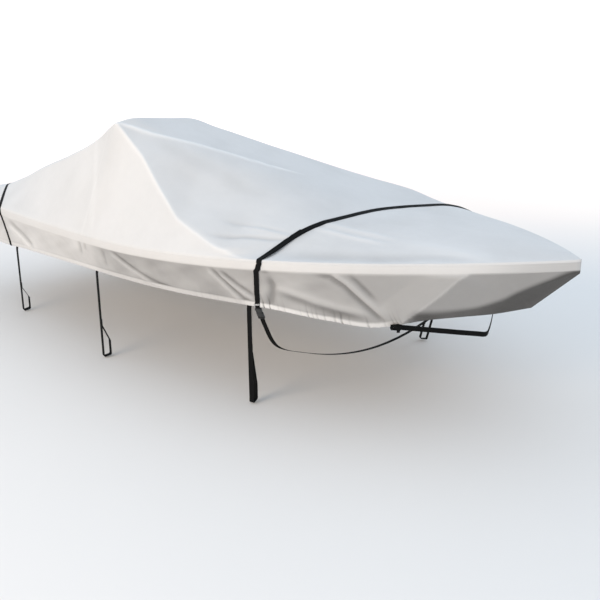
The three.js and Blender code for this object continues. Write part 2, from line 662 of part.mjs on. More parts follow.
function tieDown(row, side, sideName) {
  const tie = Object.fromEntries(TIE_COLUMNS.map((name, k) => [name, row[k]]));
  const edge = hemEdge(tie.s, side);
  const start = edge.middle;
  const end = new THREE.Vector3(-tie.endStation, side * tie.endY, tie.endZ);
  const up = start.clone().sub(end).normalize();
  const across = edge.along.clone().addScaledVector(up, -edge.along.dot(up)).normalize();
  const inward = up.clone().cross(across);
  const turn = inward.y * side > 0 ? -1 : 1;
  inward.multiplyScalar(turn);
  across.multiplyScalar(turn);
  const length = start.distanceTo(end);
  const slope = Math.abs(edge.along.dot(up)) * (WEBBING_WIDTH / 2);
  const split = length * tie.split;
  const half = WEBBING / 2;
  const spread = Math.atan2(LOOP_DEPTH - half, length - LOOP_HEIGHT - split);
  const innerTop = -split - WEBBING / Math.sin(spread);
  const innerSide = LOOP_DEPTH - WEBBING;
  const c = LOOP_CORNER;
  const outline = new THREE.Shape([
    [-half, -TIE_GAP - slope], [-half, -length + c], [-half + c, -length], [LOOP_DEPTH - c, -length],
    [LOOP_DEPTH, -length + c], [LOOP_DEPTH, -length + LOOP_HEIGHT], [half, -split], [half, -TIE_GAP - slope],
  ].map(([x, y]) => new THREE.Vector2(x, y)));
  outline.holes.push(new THREE.Path([
    [half, innerTop], [innerSide, innerTop - (innerSide - half) / Math.tan(spread)], [innerSide, -length + c],
    [LOOP_DEPTH - c, -length + WEBBING], [-half + c, -length + WEBBING], [half, -length + c],
  ].map(([x, y]) => new THREE.Vector2(x, y))));
  const geometry = new THREE.ExtrudeGeometry(outline, { depth: WEBBING_WIDTH, bevelEnabled: false });
  geometry.translate(0, 0, -WEBBING_WIDTH / 2);
  const mesh = named(`tie_down_${tie.name}_${sideName}`, geometry, webbing);
  mesh.quaternion.setFromRotationMatrix(new THREE.Matrix4().makeBasis(inward, up, across));
  mesh.position.copy(start);
  return mesh;
}

// Along a sewn edge the cloth's thickness is square to the seam: upright cloth along the gunwale, and
// cloth cut straight across at the panel seam

function foreEdges(normal, i, j, lastRow, lastColumn) {
  if (i === lastRow) normal.setX(0);
  if (j === 0 || j === lastColumn) normal.setZ(0);
}

function aftEdges(normal, i, j, lastRow, lastColumn) {
  if (i === 0) normal.setX(0);
  if (i === lastRow || j === 0 || j === lastColumn) normal.setZ(0);
}

function foreSkirtEdges(normal, i, j, lastRow) {
  if (i === lastRow) normal.setX(0);
  if (j === 0) normal.setZ(0);
}

function aftSkirtEdges(normal, i, j) {
  if (i === 0) normal.setX(0);
  if (j === 0) normal.setZ(0);
}

const cover = new THREE.Group();
cover.add(named('top_fore', sheetGeometry(foreGrid, 1, foreEdges), clothTop));
cover.add(named('top_aft', sheetGeometry(aftGrid, 1, aftEdges), clothTop));
for (const [side, sideName] of [[STARBOARD, 'starboard'], [PORT, 'port']]) {
  const fore = sheetGeometry(foreSkirtGrid(side), side, foreSkirtEdges, side);
  const aft = sheetGeometry(aftSkirtGrid(side), side, aftSkirtEdges, side);
  cover.add(named(`skirt_fore_${sideName}`, fore, clothSkirt));
  cover.add(named(`skirt_aft_${sideName}`, aft, clothSkirt));
}
cover.add(named('bow_strap', strapGeometry(bowSteps), webbing));
cover.add(named('stern_strap', strapGeometry(sternSteps), webbing));
cover.add(named('belly_strap', strapGeometry(bellyStrapSteps()), webbing));
cover.add(named('stem_strap', strapGeometry(stemStrapSteps()), webbing));
cover.add(strapFittings('starboard', ...bowEnds[0]));
cover.add(strapFittings('port', ...bowEnds[1]));
for (const row of TIE_ROWS) {
  cover.add(tieDown(row, STARBOARD, 'starboard'));
  cover.add(tieDown(row, PORT, 'port'));
}
cover.position.set(ORIGIN_STATION, -ORIGIN_Y, -ORIGIN_Z);

const part = new THREE.Group();
part.add(cover);

export default part;
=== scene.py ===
"""A fitted cloth cover for an open boat whose console stands on the starboard side.

Everything is laid out from the bow tip, at the lower edge of the gunwale band: stations run aft, Y to
port and Z up, in metres. The frame's origin lies under the console top, so each finished mesh is moved
there by FRAME_SHIFT.
"""

from __future__ import annotations

import logging
import math
from dataclasses import dataclass, field, fields
from enum import Enum
from typing import Callable, Iterable, Sequence

import bpy
import numpy as np
from mathutils import Matrix, Vector

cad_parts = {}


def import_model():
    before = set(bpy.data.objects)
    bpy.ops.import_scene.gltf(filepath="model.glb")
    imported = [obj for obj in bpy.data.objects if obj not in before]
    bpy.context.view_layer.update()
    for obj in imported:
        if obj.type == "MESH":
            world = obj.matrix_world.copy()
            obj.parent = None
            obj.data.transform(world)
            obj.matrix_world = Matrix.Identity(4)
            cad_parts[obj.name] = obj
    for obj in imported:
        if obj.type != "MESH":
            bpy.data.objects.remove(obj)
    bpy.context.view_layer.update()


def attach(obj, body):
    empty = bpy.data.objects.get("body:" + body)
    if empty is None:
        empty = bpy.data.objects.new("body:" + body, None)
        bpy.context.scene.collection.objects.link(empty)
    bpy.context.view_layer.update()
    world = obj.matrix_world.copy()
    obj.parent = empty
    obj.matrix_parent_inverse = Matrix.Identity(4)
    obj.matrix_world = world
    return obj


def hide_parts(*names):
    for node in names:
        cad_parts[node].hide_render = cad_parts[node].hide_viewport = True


Array = np.ndarray
Colour = tuple[float, float, float, float]
Spot = tuple[float, float, float]
Span = tuple[float, float]
Piece = bpy.types.Object
Material = bpy.types.Material

LOG = logging.getLogger("cover")
ROOT = "root"
FRAME_SHIFT = np.array((2.590, 0.575, -0.519))
CLOTH = 0.0015
SEAM_GAP = 0.0003
SEAM_HEIGHT = 0.038
PANEL_SEAM = 2.620
RIM_SHARE = 0.03
CURVE_STEPS = 40
CLOTH_MAP = "cloth"
SEAM_MAP = "seam"
CROSS_MAP = "cross"
# map of the painted shade and the painted highlights on the cloth
PAINTED_LIGHT_MAP = "soil"
TURN = 2 * math.pi


class Side(Enum):
    """The two sides of the cover, by the sign of Y."""

    STARBOARD = -1
    PORT = 1

    @property
    def label(self) -> str:
        """The side's name in a piece's name."""
        return self.name.lower()


class FoldForm(Enum):
    """The ways that a fold bends the cloth."""

    TROUGH = "trough"
    RIDGE = "ridge"
    PLEAT = "pleat"
    FACET = "facet"


def eased(low: float, high: float, value: Array) -> Array:
    """Rises smoothly from 0 at low to 1 at high."""
    t = np.clip((np.asarray(value, float) - low) / (high - low), 0.0, 1.0)
    return t * t * (3 - 2 * t)


def bell(x: Array) -> Array:
    """Gives a soft bump that is 1 at zero and falls away on both sides."""
    return np.exp(-x * x)


def soft_least(a: Array, b: Array, blend: float) -> Array:
    """Gives the lesser of two values, rounded off where they meet."""
    share = np.clip(0.5 + (b - a) / (2 * blend), 0, 1)
    return b + (a - b) * share - blend * share * (1 - share)


def unit(vectors: Array) -> Array:
    """Scales vectors along the last axis to length one."""
    return vectors / np.maximum(np.linalg.norm(vectors, axis=-1, keepdims=True), 1e-12)


def squared(way: Array, other: Array) -> Array:
    """Turns ways until they are square to another, and scales them to length one."""
    return unit(way - other * (way * other).sum(axis=-1, keepdims=True))


def stepped(stops: Sequence[tuple[float, float]]) -> Array:
    """Gives stations at even steps from each stop to the next.

    Args:
        stops: station and the step used to reach it; the first step isn't used.

    Returns:
        The rising stations.
    """
    stations = [np.array([stops[0][0]])]
    for (start, _), (end, step) in zip(stops, stops[1:]):
        count = max(1, round((end - start) / step))
        stations.append(np.linspace(start, end, count + 1)[1:])
    return np.concatenate(stations)


class StationCurve:
    """A smooth curve through station and value pairs that never overshoots them."""

    def __init__(self, stations: Sequence[float], values: Sequence[float]) -> None:
        """Works out the slope at each station.

        Args:
            stations: rising stations.
            values: the value at each station.
        """
        self.stations = np.asarray(stations, float)
        self.values = np.asarray(values, float)
        rise = np.diff(self.values) / np.diff(self.stations)
        product = rise[:-1] * rise[1:]
        turning = product <= 0
        total = np.where(turning, 1.0, rise[:-1] + rise[1:])
        inner = np.where(turning, 0.0, 2 * product / total)
        self.slope = np.concatenate(([rise[0]], inner, [rise[-1]]))

    def __call__(self, s: Array) -> Array:
        """Gives the curve's value.

        Args:
            s: the stations asked for.

        Returns:
            The value at each of them.
        """
        s = np.clip(np.asarray(s, float), self.stations[0], self.stations[-1])
        i = np.clip(np.searchsorted(self.stations, s, side="right") - 1, 0, len(self.stations) - 2)
        span = self.stations[i + 1] - self.stations[i]
        t = (s - self.stations[i]) / span
        u = 1 - t
        ends = self.values[i] * (1 + 2 * t) * u * u + self.values[i + 1] * t * t * (3 - 2 * t)
        return ends + span * (self.slope[i] * t * u * u - self.slope[i + 1] * t * t * u)


def curves_of(names: Sequence[str], rows: Sequence[Sequence[float]]) -> dict[str, StationCurve]:
    """Makes a named curve from each column of a table whose first column is the station."""
    table = np.asarray(rows, float)
    return {name: StationCurve(table[:, 0], table[:, k]) for k, name in enumerate(names) if k}


@dataclass(frozen=True)
class Fold:
    """A fold of the cloth along a line of places on a panel.

    The places are given in two of the panel's own measures, such as station and drop. The height is
    outward, and a pleat has its ridge to the left of its line. A painted highlight makes the cloth paler
    along the crease.
    """

    path: tuple[Span, ...]
    height: float
    width: float
    form: FoldForm = FoldForm.TROUGH
    fade: float = 0.25
    # a painted highlight along the crease: its strength and its width
    worn_and_highlight: float = 0.0
    highlight_width: float = 0.008
    pleat_ridge: float = 0.8
    pleat_offset: float = 1.5
    facet_top: float = 1.06
    facet_soft: float = 0.06

    def place(self, a: Array, b: Array) -> tuple[Array, Array]:
        """Finds each place's distance from the fold's line and the fold's strength beside it.

        Args:
            a: the first measure of each place.
            b: the second measure of each place.

        Returns:
            The distance, positive to the left of the line, and the strength from 0 to 1.
        """
        points = np.asarray(self.path, float)
        legs = np.diff(points, axis=0)
        lengths = np.linalg.norm(legs, axis=1)
        total = lengths.sum()
        best = np.full(a.shape, np.inf)
        off = np.zeros(a.shape)
        along = np.zeros(a.shape)
        done = 0.0
        for k, (start, leg, length) in enumerate(zip(points, legs, lengths)):
            da = a - start[0]
            db = b - start[1]
            t = (da * leg[0] + db * leg[1]) / length**2
            low = -np.inf if k == 0 else 0.0
            high = np.inf if k == len(legs) - 1 else 1.0
            held = np.clip(t, low, high)
            gap = np.hypot(da - held * leg[0], db - held * leg[1])
            side = np.sign(leg[0] * db - leg[1] * da)
            nearer = gap < best
            best = np.where(nearer, gap, best)
            off = np.where(nearer, gap * side, off)
            along = np.where(nearer, (done + held * length) / total, along)
            done += length
        return off, eased(-self.fade, self.fade, along) * (1 - eased(1 - self.fade, 1 + self.fade, along))

    def rise(self, a: Array, b: Array) -> Array:
        """Works out how far the fold lifts the cloth, outward, at each place."""
        off, strength = self.place(a, b)
        return self.height * strength * self.profile(off / self.width)

    def wear_and_highlight(self, a: Array, b: Array) -> Array:
        """Works out the painted highlight along the crease at each place."""
        off, strength = self.place(a, b)
        return self.worn_and_highlight * strength * bell(off / self.highlight_width)

    def profile(self, x: Array) -> Array:
        """Gives the fold's cross-section at a distance counted in its widths."""
        if self.form is FoldForm.RIDGE:
            return bell(x)
        if self.form is FoldForm.PLEAT:
            return self.pleat_ridge * bell(x - self.pleat_offset) - bell(x)
        if self.form is FoldForm.FACET:
            return np.clip(self.facet_top - np.hypot(x, self.facet_soft), 0, None)
        return -bell(x)


@dataclass(frozen=True)
class Ripple:
    """A soft unevenness of the cloth from a few bent waves, the same on every run."""

    seed: int
    height: float
    longest: float
    shortest: float
    stretch: float = 1.0
    waves: int = 9
    bend: Span = (0.3, 0.9)
    bend_length: float = 1.7
    falloff: float = 0.8
    whole: float = 2.4

    def rise(self, a: Array, b: Array) -> Array:
        """Works out how far the unevenness lifts the cloth.

        Args:
            a: the first measure of each place, along which the waves are stretched.
            b: the second measure of each place.

        Returns:
            The outward lift.
        """
        chance = np.random.RandomState(self.seed)
        total = np.zeros(a.shape)
        for k in range(self.waves):
            share = (self.shortest / self.longest) ** (k / (self.waves - 1))
            wave = self.longest * share
            turn = chance.uniform(0, TURN)
            phase = chance.uniform(0, TURN)
            bend = chance.uniform(*self.bend)
            run = a / self.stretch * math.cos(turn) + b * math.sin(turn)
            cross = b * math.cos(turn) - a / self.stretch * math.sin(turn)
            bent = bend * np.sin(TURN * cross / (self.bend_length * wave) + turn)
            total += np.sin(TURN * run / wave + phase + bent) * share**self.falloff
        return self.height * total / self.whole


@dataclass(frozen=True)
class Hull:
    """The hull edge that the cover is cut to: half beam and sheer of the band's lower edge."""

    length: float = 4.600
    beam_half: float = 1.100
    full_beam_station: float = 2.403
    bow_fullness: float = 2.076
    bow_point: float = 0.967
    stern_taper: float = 0.016
    sheer_fall: float = 0.188
    sheer_station: float = 3.649
    sheer_curve: float = 1.768
    stern_corner: float = 0.060
    nose_station: float = 0.006
    nose_round: float = 0.012
    seam_inset: float = 0.001
    seam_share: float = 0.125

    def half(self, s: Array) -> Array:
        """Gives the half beam at each station."""
        along = np.minimum(s / self.full_beam_station, 1.0)
        half = self.beam_half * (1 - (1 - along) ** self.bow_fullness) ** self.bow_point
        half = half - self.stern_taper * np.maximum(s - self.full_beam_station, 0.0)
        turned = np.maximum(s - (self.length - self.stern_corner), 0.0)
        half -= self.stern_corner - np.sqrt(np.maximum(self.stern_corner**2 - turned**2, 0.0))
        nose = np.clip((self.nose_station + self.nose_round - s) / self.nose_round, 0.0, 1.0)
        return half * np.sqrt(1 - nose**2)

    def sheer(self, s: Array) -> Array:
        """Gives the height of the band's lower edge at each station."""
        along = np.minimum(s / self.sheer_station, 1.0)
        return -self.sheer_fall * (1 - (1 - along) ** self.sheer_curve)

    def seam(self, s: Array) -> Array:
        """Gives how far inside the hull edge the band is sewn to the top."""
        return np.minimum(self.seam_inset, self.seam_share * self.half(s))


TOP_COLUMNS = ("s", "ridge_y", "ridge_z", "crown_y", "crown_z", "port_y", "port_z", "fore_bulge",
               "crown_bulge", "port_bulge", "ridge_soft")
TOP_ROWS = (
    (0.006, -0.003, 0.0485, 0.0, 0.049, 0.003, 0.0485, 0.0, 0.0, 0.0, 0.005),
    (0.35, -0.256, 0.03, -0.01, 0.058, 0.208, 0.043, 0.003, 0.003, 0.002, 0.12),
    (0.7, -0.462, 0.009, -0.035, 0.066, 0.373, 0.037, 0.008, 0.006, 0.003, 0.16),
    (1.0, -0.608, -0.006, -0.1, 0.082, 0.495, 0.036, 0.015, 0.01, 0.004, 0.18),
    (1.26, -0.725, -0.022, -0.2, 0.091, 0.6, 0.04, 0.028, 0.013, 0.005, 0.17),
    (1.5, -0.928, -0.022, -0.325, 0.172, 0.59, 0.097, 0.004, 0.006, 0.0, 0.09),
    (1.7, -0.946, 0.036, -0.38, 0.238, 0.424, 0.167, -0.01, 0.002, -0.006, 0.07),
    (1.85, -0.946, 0.084, -0.43, 0.292, 0.3, 0.223, -0.016, 0.0, -0.014, 0.06),
    (1.95, -0.931, 0.146, -0.48, 0.326, 0.217, 0.262, -0.016, 0.0, -0.014, 0.05),
    (2.06, -0.909, 0.208, -0.54, 0.362, 0.125, 0.305, -0.008, 0.0, -0.014, 0.042),
    (2.28, -0.872, 0.361, -0.64, 0.432, -0.057, 0.391, -0.004, 0.0, -0.014, 0.036),
    (2.4, -0.86, 0.424, -0.705, 0.472, -0.157, 0.439, -0.002, 0.0, -0.014, 0.034),
    (2.5, -0.86, 0.488, -0.738, 0.514, -0.24, 0.48, 0.0, 0.0, -0.014, 0.032),
    (2.565, -0.86, 0.516, -0.745, 0.537, -0.29, 0.508, 0.0, 0.0, -0.014, 0.032),
    (2.64, -0.86, 0.484, -0.74, 0.502, -0.295, 0.489, 0.0, 0.0, -0.014, 0.036),
    (2.75, -0.86, 0.421, -0.7, 0.433, -0.24, 0.433, 0.0, -0.004, -0.014, 0.044),
    (2.9, -0.862, 0.354, -0.6, 0.362, -0.13, 0.364, 0.0, -0.008, -0.014, 0.055),
    (3.15, -0.868, 0.266, -0.5, 0.271, 0.05, 0.276, 0.0, -0.012, -0.014, 0.07),
    (3.45, -0.875, 0.168, -0.4, 0.171, 0.26, 0.174, 0.0, -0.012, -0.014, 0.08),
    (3.8, -0.888, 0.042, -0.3, 0.048, 0.5, 0.052, 0.0, -0.008, -0.01, 0.09),
    (4.15, -0.91, -0.066, -0.2, -0.057, 0.74, -0.062, 0.0, -0.004, -0.005, 0.09),
    (4.45, -0.955, -0.122, -0.1, -0.118, 0.93, -0.122, 0.0, 0.0, 0.0, 0.08),
    (4.6, -0.975, -0.137, 0.0, -0.136, 0.975, -0.137, 0.0, 0.0, 0.0, 0.04),
)

SKIRT_COLUMNS = ("s", "drop", "lean")
SKIRT_ROWS = (
    (0.249, 0.223, 1.05),
    (0.4, 0.254, 0.92),
    (0.6, 0.268, 0.69),
    (0.82, 0.312, 0.5),
    (1.0, 0.278, 0.42),
    (1.3, 0.218, 0.32),
    (1.7, 0.191, 0.26),
    (2.3, 0.17, 0.21),
    (2.8, 0.177, 0.2),
    (3.5, 0.203, 0.19),
    (3.9, 0.229, 0.18),
    (4.6, 0.23, 0.18),
)

TUCK_COLUMNS = ("s", "depth", "reach")
TUCK_ROWS = (
    (0.0, 0.006, 0.0),
    (0.163, 0.079, 0.024),
    (0.331, 0.164, 0.022),
    (0.488, 0.229, 0.009),
    (0.56, 0.262, 0.0),
)
FACET_LINE = ((0.385, 0.01), (0.423, 0.037), (0.498, 0.109), (0.61, 0.207), (0.706, 0.284))

TROUGH, RIDGE, PLEAT, FACET = FoldForm

# A fold's numbers after its fade give a painted highlight along its crease: its strength and its width.
STARBOARD_FOLDS = (
    Fold(FACET_LINE, 0.024, 0.115, FACET, 0.08, 0.55, 0.006),
    Fold(((0.983, 0.012), (0.932, 0.022), (0.884, 0.074), (0.858, 0.122), (0.834, 0.164), (0.779, 0.267)),
         0.01, 0.016, PLEAT, 0.15),
    Fold(((0.842, 0.017), (0.822, 0.05), (0.778, 0.142)), 0.007, 0.012),
    Fold(((1.188, 0.137), (1.101, 0.167), (1.032, 0.199), (0.951, 0.23), (0.902, 0.243), (0.854, 0.256)),
         0.008, 0.022, PLEAT, 0.15),
    Fold(((1.225, 0.045), (1.218, 0.084), (1.24, 0.15), (1.258, 0.195)), 0.009, 0.019, TROUGH, 0.2),
    Fold(((1.355, 0.192), (1.39, 0.176), (1.473, 0.082), (1.534, 0.019)), 0.0085, 0.013, PLEAT, 0.1),
    Fold(((1.33, 0.153), (1.414, 0.087), (1.479, 0.028)), 0.008, 0.013, PLEAT, 0.12),
    Fold(((1.842, 0.16), (1.908, 0.152), (1.99, 0.133), (2.112, 0.087), (2.215, 0.045), (2.29, 0.012)),
         0.0075, 0.012, PLEAT, 0.12),
    Fold(((2.668, 0.005), (2.678, 0.08)), 0.007, 0.016),
    Fold(((2.6, 0.006), (2.612, 0.05)), 0.005, 0.013),
    Fold(((2.4, 0.02), (2.39, 0.11)), 0.005, 0.022),
    Fold(((3.376, 0.16), (3.508, 0.092), (3.65, 0.04)), 0.01, 0.024, PLEAT, 0.15),
)
PORT_FOLDS = (
    Fold(((0.43, 0.02), (0.67, 0.275)), 0.014, 0.11, FACET, 0.12),
    Fold(((0.905, 0.015), (0.8, 0.23)), 0.009, 0.028, PLEAT),
    Fold(((1.51, 0.015), (1.4, 0.145)), 0.008, 0.024, PLEAT),
    Fold(((2.31, 0.012), (2.08, 0.14)), 0.008, 0.03, PLEAT),
    Fold(((3.3, 0.02), (3.18, 0.13)), 0.007, 0.034),
)

RIDGE_FOLDS = (
    Fold(((2.54, -0.86), (2.4, -0.861), (2.28, -0.872), (2.06, -0.909), (1.95, -0.931), (1.85, -0.946),
          (1.7, -0.946), (1.5, -0.93), (1.36, -0.9)), 0.003, 0.01, RIDGE, 0.06, 0.35, 0.008),
)
DECK_FOLDS = (
    Fold(((2.551, -0.848), (2.377, -0.713), (2.21, -0.545), (2.072, -0.424), (1.891, -0.27), (1.784, -0.15)),
         0.006, 0.014, RIDGE, 0.1, 0.8, 0.013),
    Fold(((2.4, -0.8), (2.19, -0.68), (2.06, -0.625), (1.95, -0.575), (1.85, -0.55), (1.72, -0.53),
          (1.54, -0.455)), 0.0022, 0.05, TROUGH, 0.15),
    Fold(((1.593, -0.88), (1.49, -0.807), (1.372, -0.727), (1.299, -0.665)), 0.006, 0.015),
    Fold(((1.551, -0.737), (1.401, -0.679), (1.297, -0.633)), 0.005, 0.016, RIDGE),
    Fold(((1.627, -0.764), (1.495, -0.702), (1.34, -0.629)), 0.004, 0.016),
    Fold(((1.265, -0.95), (1.25, 0.0), (1.215, 0.7)), 0.004, 0.026, TROUGH, 0.05),
    Fold(((1.18, -0.745), (1.0, -0.66), (0.7, -0.485), (0.45, -0.31)), 0.005, 0.05),
    # painted reflection streaks and a broad painted reflection patch on the foredeck
    Fold(((1.235, -0.486), (1.046, -0.448), (0.878, -0.407)), 0.005, 0.02, RIDGE, 0.25, 0.3, 0.02),
    Fold(((1.235, -0.415), (1.018, -0.366), (0.86, -0.33)), 0.005, 0.022, RIDGE, 0.25, 0.22, 0.022),
    Fold(((0.78, -0.33), (0.549, -0.27), (0.36, -0.256)), 0.004, 0.05, RIDGE, 0.3, 0.22, 0.06),
)
SIDE_FOLDS = (
    Fold(((2.781, 0.385), (2.693, 0.263), (2.629, 0.128), (2.571, -0.005), (2.54, -0.08)), 0.0018, 0.022,
         RIDGE, 0.1, 0.05, 0.02),
)


def grid_normals(grid: Array, sign: float) -> Array:
    """Gives a grid's outward unit normals; sign says which way of its cross product is outward."""
    return unit(np.cross(np.gradient(grid, axis=1), np.gradient(grid, axis=0))) * sign


def runs(grid: Array, axis: int) -> Array:
    """Gives the distance walked along one axis of a grid to each of its points."""
    steps = np.linalg.norm(np.diff(grid, axis=axis), axis=2)
    start = np.zeros_like(np.take(steps, [0], axis=axis))
    return np.concatenate((start, np.cumsum(steps, axis=axis)), axis=axis)


@dataclass
class TopForm:
    """The shape of the cover's top: sections from the starboard seam to the port seam."""

    hull: Hull
    shoulder_height: float = 0.050
    shoulder_inset: float = 0.004
    shoulder_soft: float = 0.012
    crown_soft: float = 0.200
    port_soft: float = 0.090
    side_bulge: float = -0.006
    corner_share: float = 0.45
    camber_span: float = 0.300
    ridge_crisp: float = 0.45
    edge_fade: float = 0.060
    bow_fade: float = 0.150
    stern_fade: float = 0.200
    level_span: Span = (0.3, 0.6)
    steep_span: Span = (0.5, 0.8)
    ripple: Ripple = Ripple(4, 0.0016, 0.62, 0.11, 1.5)
    corner_steps: tuple[int, ...] = (5, 12, 14, 10, 5)
    stretch_steps: tuple[int, ...] = (1, 28, 36, 42, 36, 1)
    curves: dict[str, StationCurve] = field(default_factory=lambda: curves_of(TOP_COLUMNS, TOP_ROWS))

    @property
    def round_up(self) -> float:
        """How far the rounded edge rises from the seam to the shoulder."""
        return self.shoulder_height - SEAM_HEIGHT

    def controls(self, s: Array) -> tuple[Array, Array, Array]:
        """Gives the corner points of the sections, their rounding and their camber.

        Args:
            s: the stations.

        Returns:
            Points by corner and station, roundings by inner corner, and cambers by stretch.
        """
        at = {name: curve(s) for name, curve in self.curves.items()}
        half = self.hull.half(s)
        base = self.hull.sheer(s)
        inset = np.minimum(self.shoulder_inset, half / 3)
        edge = self.hull.seam(s)
        into = np.maximum(s - (self.hull.length - self.round_up), 0)
        drop = self.round_up - np.sqrt(np.maximum(self.round_up**2 - into**2, 0))
        shoulder = base + self.shoulder_height - drop
        points = np.array([
            (edge - half, base + SEAM_HEIGHT),
            (inset - half, shoulder),
            (at["ridge_y"], at["ridge_z"] - drop),
            (at["crown_y"], at["crown_z"] - drop),
            (at["port_y"], at["port_z"] - drop),
            (half - inset, shoulder),
            (half - edge, base + SEAM_HEIGHT),
        ]).transpose(0, 2, 1)
        even = np.ones_like(s)
        soft = np.array([self.shoulder_soft * even, at["ridge_soft"] * self.ridge_crisp,
                         self.crown_soft * even, self.port_soft * even, self.shoulder_soft * even])
        fullness = half / self.hull.beam_half * (1 - drop / self.round_up)
        bulge = np.array([0 * s, self.side_bulge * fullness, at["fore_bulge"], at["crown_bulge"],
                          at["port_bulge"], 0 * s])
        return points, soft, bulge

    def sections(self, s: Array) -> Array:
        """Lays out the smooth sections.

        Args:
            s: the stations.

        Returns:
            Points by station and column, without the folds.
        """
        points, soft, bulge = self.controls(s)
        spans = np.diff(points, axis=0)
        lengths = np.linalg.norm(spans, axis=2)
        cut = np.minimum(soft, self.corner_share * np.minimum(lengths[:-1], lengths[1:]))

        def on_stretch(k: int, t: Array) -> Array:
            """Gives the cambered point at a share t of stretch k."""
            camber = 4 * t * (1 - t) * bulge[k] / np.maximum(lengths[k], self.camber_span)
            turned = np.stack((-spans[k][:, 1], spans[k][:, 0]), axis=1)
            return points[k] + spans[k] * t[:, None] + turned * camber[:, None]

        columns = [points[0]]
        last = len(spans) - 1
        for k, steps in enumerate(self.stretch_steps):
            start = cut[k - 1] / lengths[k] if k else np.zeros_like(s)
            stop = 1 - cut[k] / lengths[k] if k < last else np.ones_like(s)
            for i in range(1, steps + 1):
                columns.append(on_stretch(k, start + (stop - start) * i / (steps + 1)))
            if k < last:
                before = on_stretch(k, stop)
                after = on_stretch(k + 1, cut[k] / lengths[k + 1])
                for i in range(self.corner_steps[k] + 1):
                    t = i / self.corner_steps[k]
                    columns.append((1 - t) ** 2 * before + 2 * t * (1 - t) * points[k + 1] + t**2 * after)
        columns.append(points[-1])
        flat = np.stack(columns, axis=1)
        aft = np.repeat(-s[:, None, None], flat.shape[1], axis=1)
        return np.concatenate((aft, flat), axis=2)

    def grid(self, s: Array) -> tuple[Array, Array, Array]:
        """Lays out the top with its folds and its soft unevenness.

        Args:
            s: the stations.

        Returns:
            Points of the outer face by station and column, how far the folds lift each, and the painted
            highlight along them.
        """
        smooth = self.sections(s)
        normals = grid_normals(smooth, 1.0)
        station, y, z = -smooth[..., 0], smooth[..., 1], smooth[..., 2]
        level = eased(*self.level_span, normals[..., 2])
        steep = eased(*self.steep_span, -normals[..., 1])
        lift = self.ripple.rise(station, y)
        # the folds also paint a highlight along their creases
        wear_and_highlight = np.zeros_like(lift)
        for folds, measure, share in ((DECK_FOLDS, y, level), (RIDGE_FOLDS, y, 1.0), (SIDE_FOLDS, z, steep)):
            for fold in folds:
                lift = lift + fold.rise(station, measure) * share
                wear_and_highlight = wear_and_highlight + fold.wear_and_highlight(station, measure) * share
        across = runs(smooth, 1)
        from_seam = np.minimum(across, across[:, -1:] - across)
        lift *= eased(0.0, self.edge_fade, from_seam) * eased(0.0, self.bow_fade, station)
        lift *= eased(0.0, self.stern_fade, self.hull.length - station)
        return smooth + normals * lift[..., None], lift, wear_and_highlight


@dataclass
class Places:
    """A line of places along the hull edge, with the level way inward at each."""

    station: Array
    run: Array
    point: Array
    inward: Array

    def joined(self, other: Places) -> Places:
        """Adds the places that follow these."""
        pairs = ((getattr(self, each.name), getattr(other, each.name)) for each in fields(self))
        return Places(*(np.concatenate(pair) for pair in pairs))


@dataclass(frozen=True)
class Pose:
    """A place on the hem or on a strap, with the ways across a strap there, down along it and outward."""

    point: Array
    across: Array
    down: Array
    outward: Array

    def moved(self, down: float, outward: float) -> Array:
        """Gives a point some way down the strap and outward from it."""
        return self.point + self.down * down + self.outward * outward

    def matrix(self, down: float, outward: float) -> Matrix:
        """Gives the matrix that sets a fitting some way down the strap and outward, in the frame."""
        ways = np.stack((np.cross(self.down, self.outward), self.down, self.outward), axis=1)
        return Matrix.Translation(self.moved(down, outward) + FRAME_SHIFT) @ Matrix(ways).to_4x4()


@dataclass(frozen=True)
class Wave:
    """A plain wave along a line: its height, its length and where in its turn it starts."""

    height: float
    length: float
    start: float = 0.0

    def at(self, run: Array, later: float = 0.0) -> Array:
        """Gives the wave's value at each distance along the line, for a start that much later."""
        return self.height * np.sin(TURN * run / self.length + self.start + later)


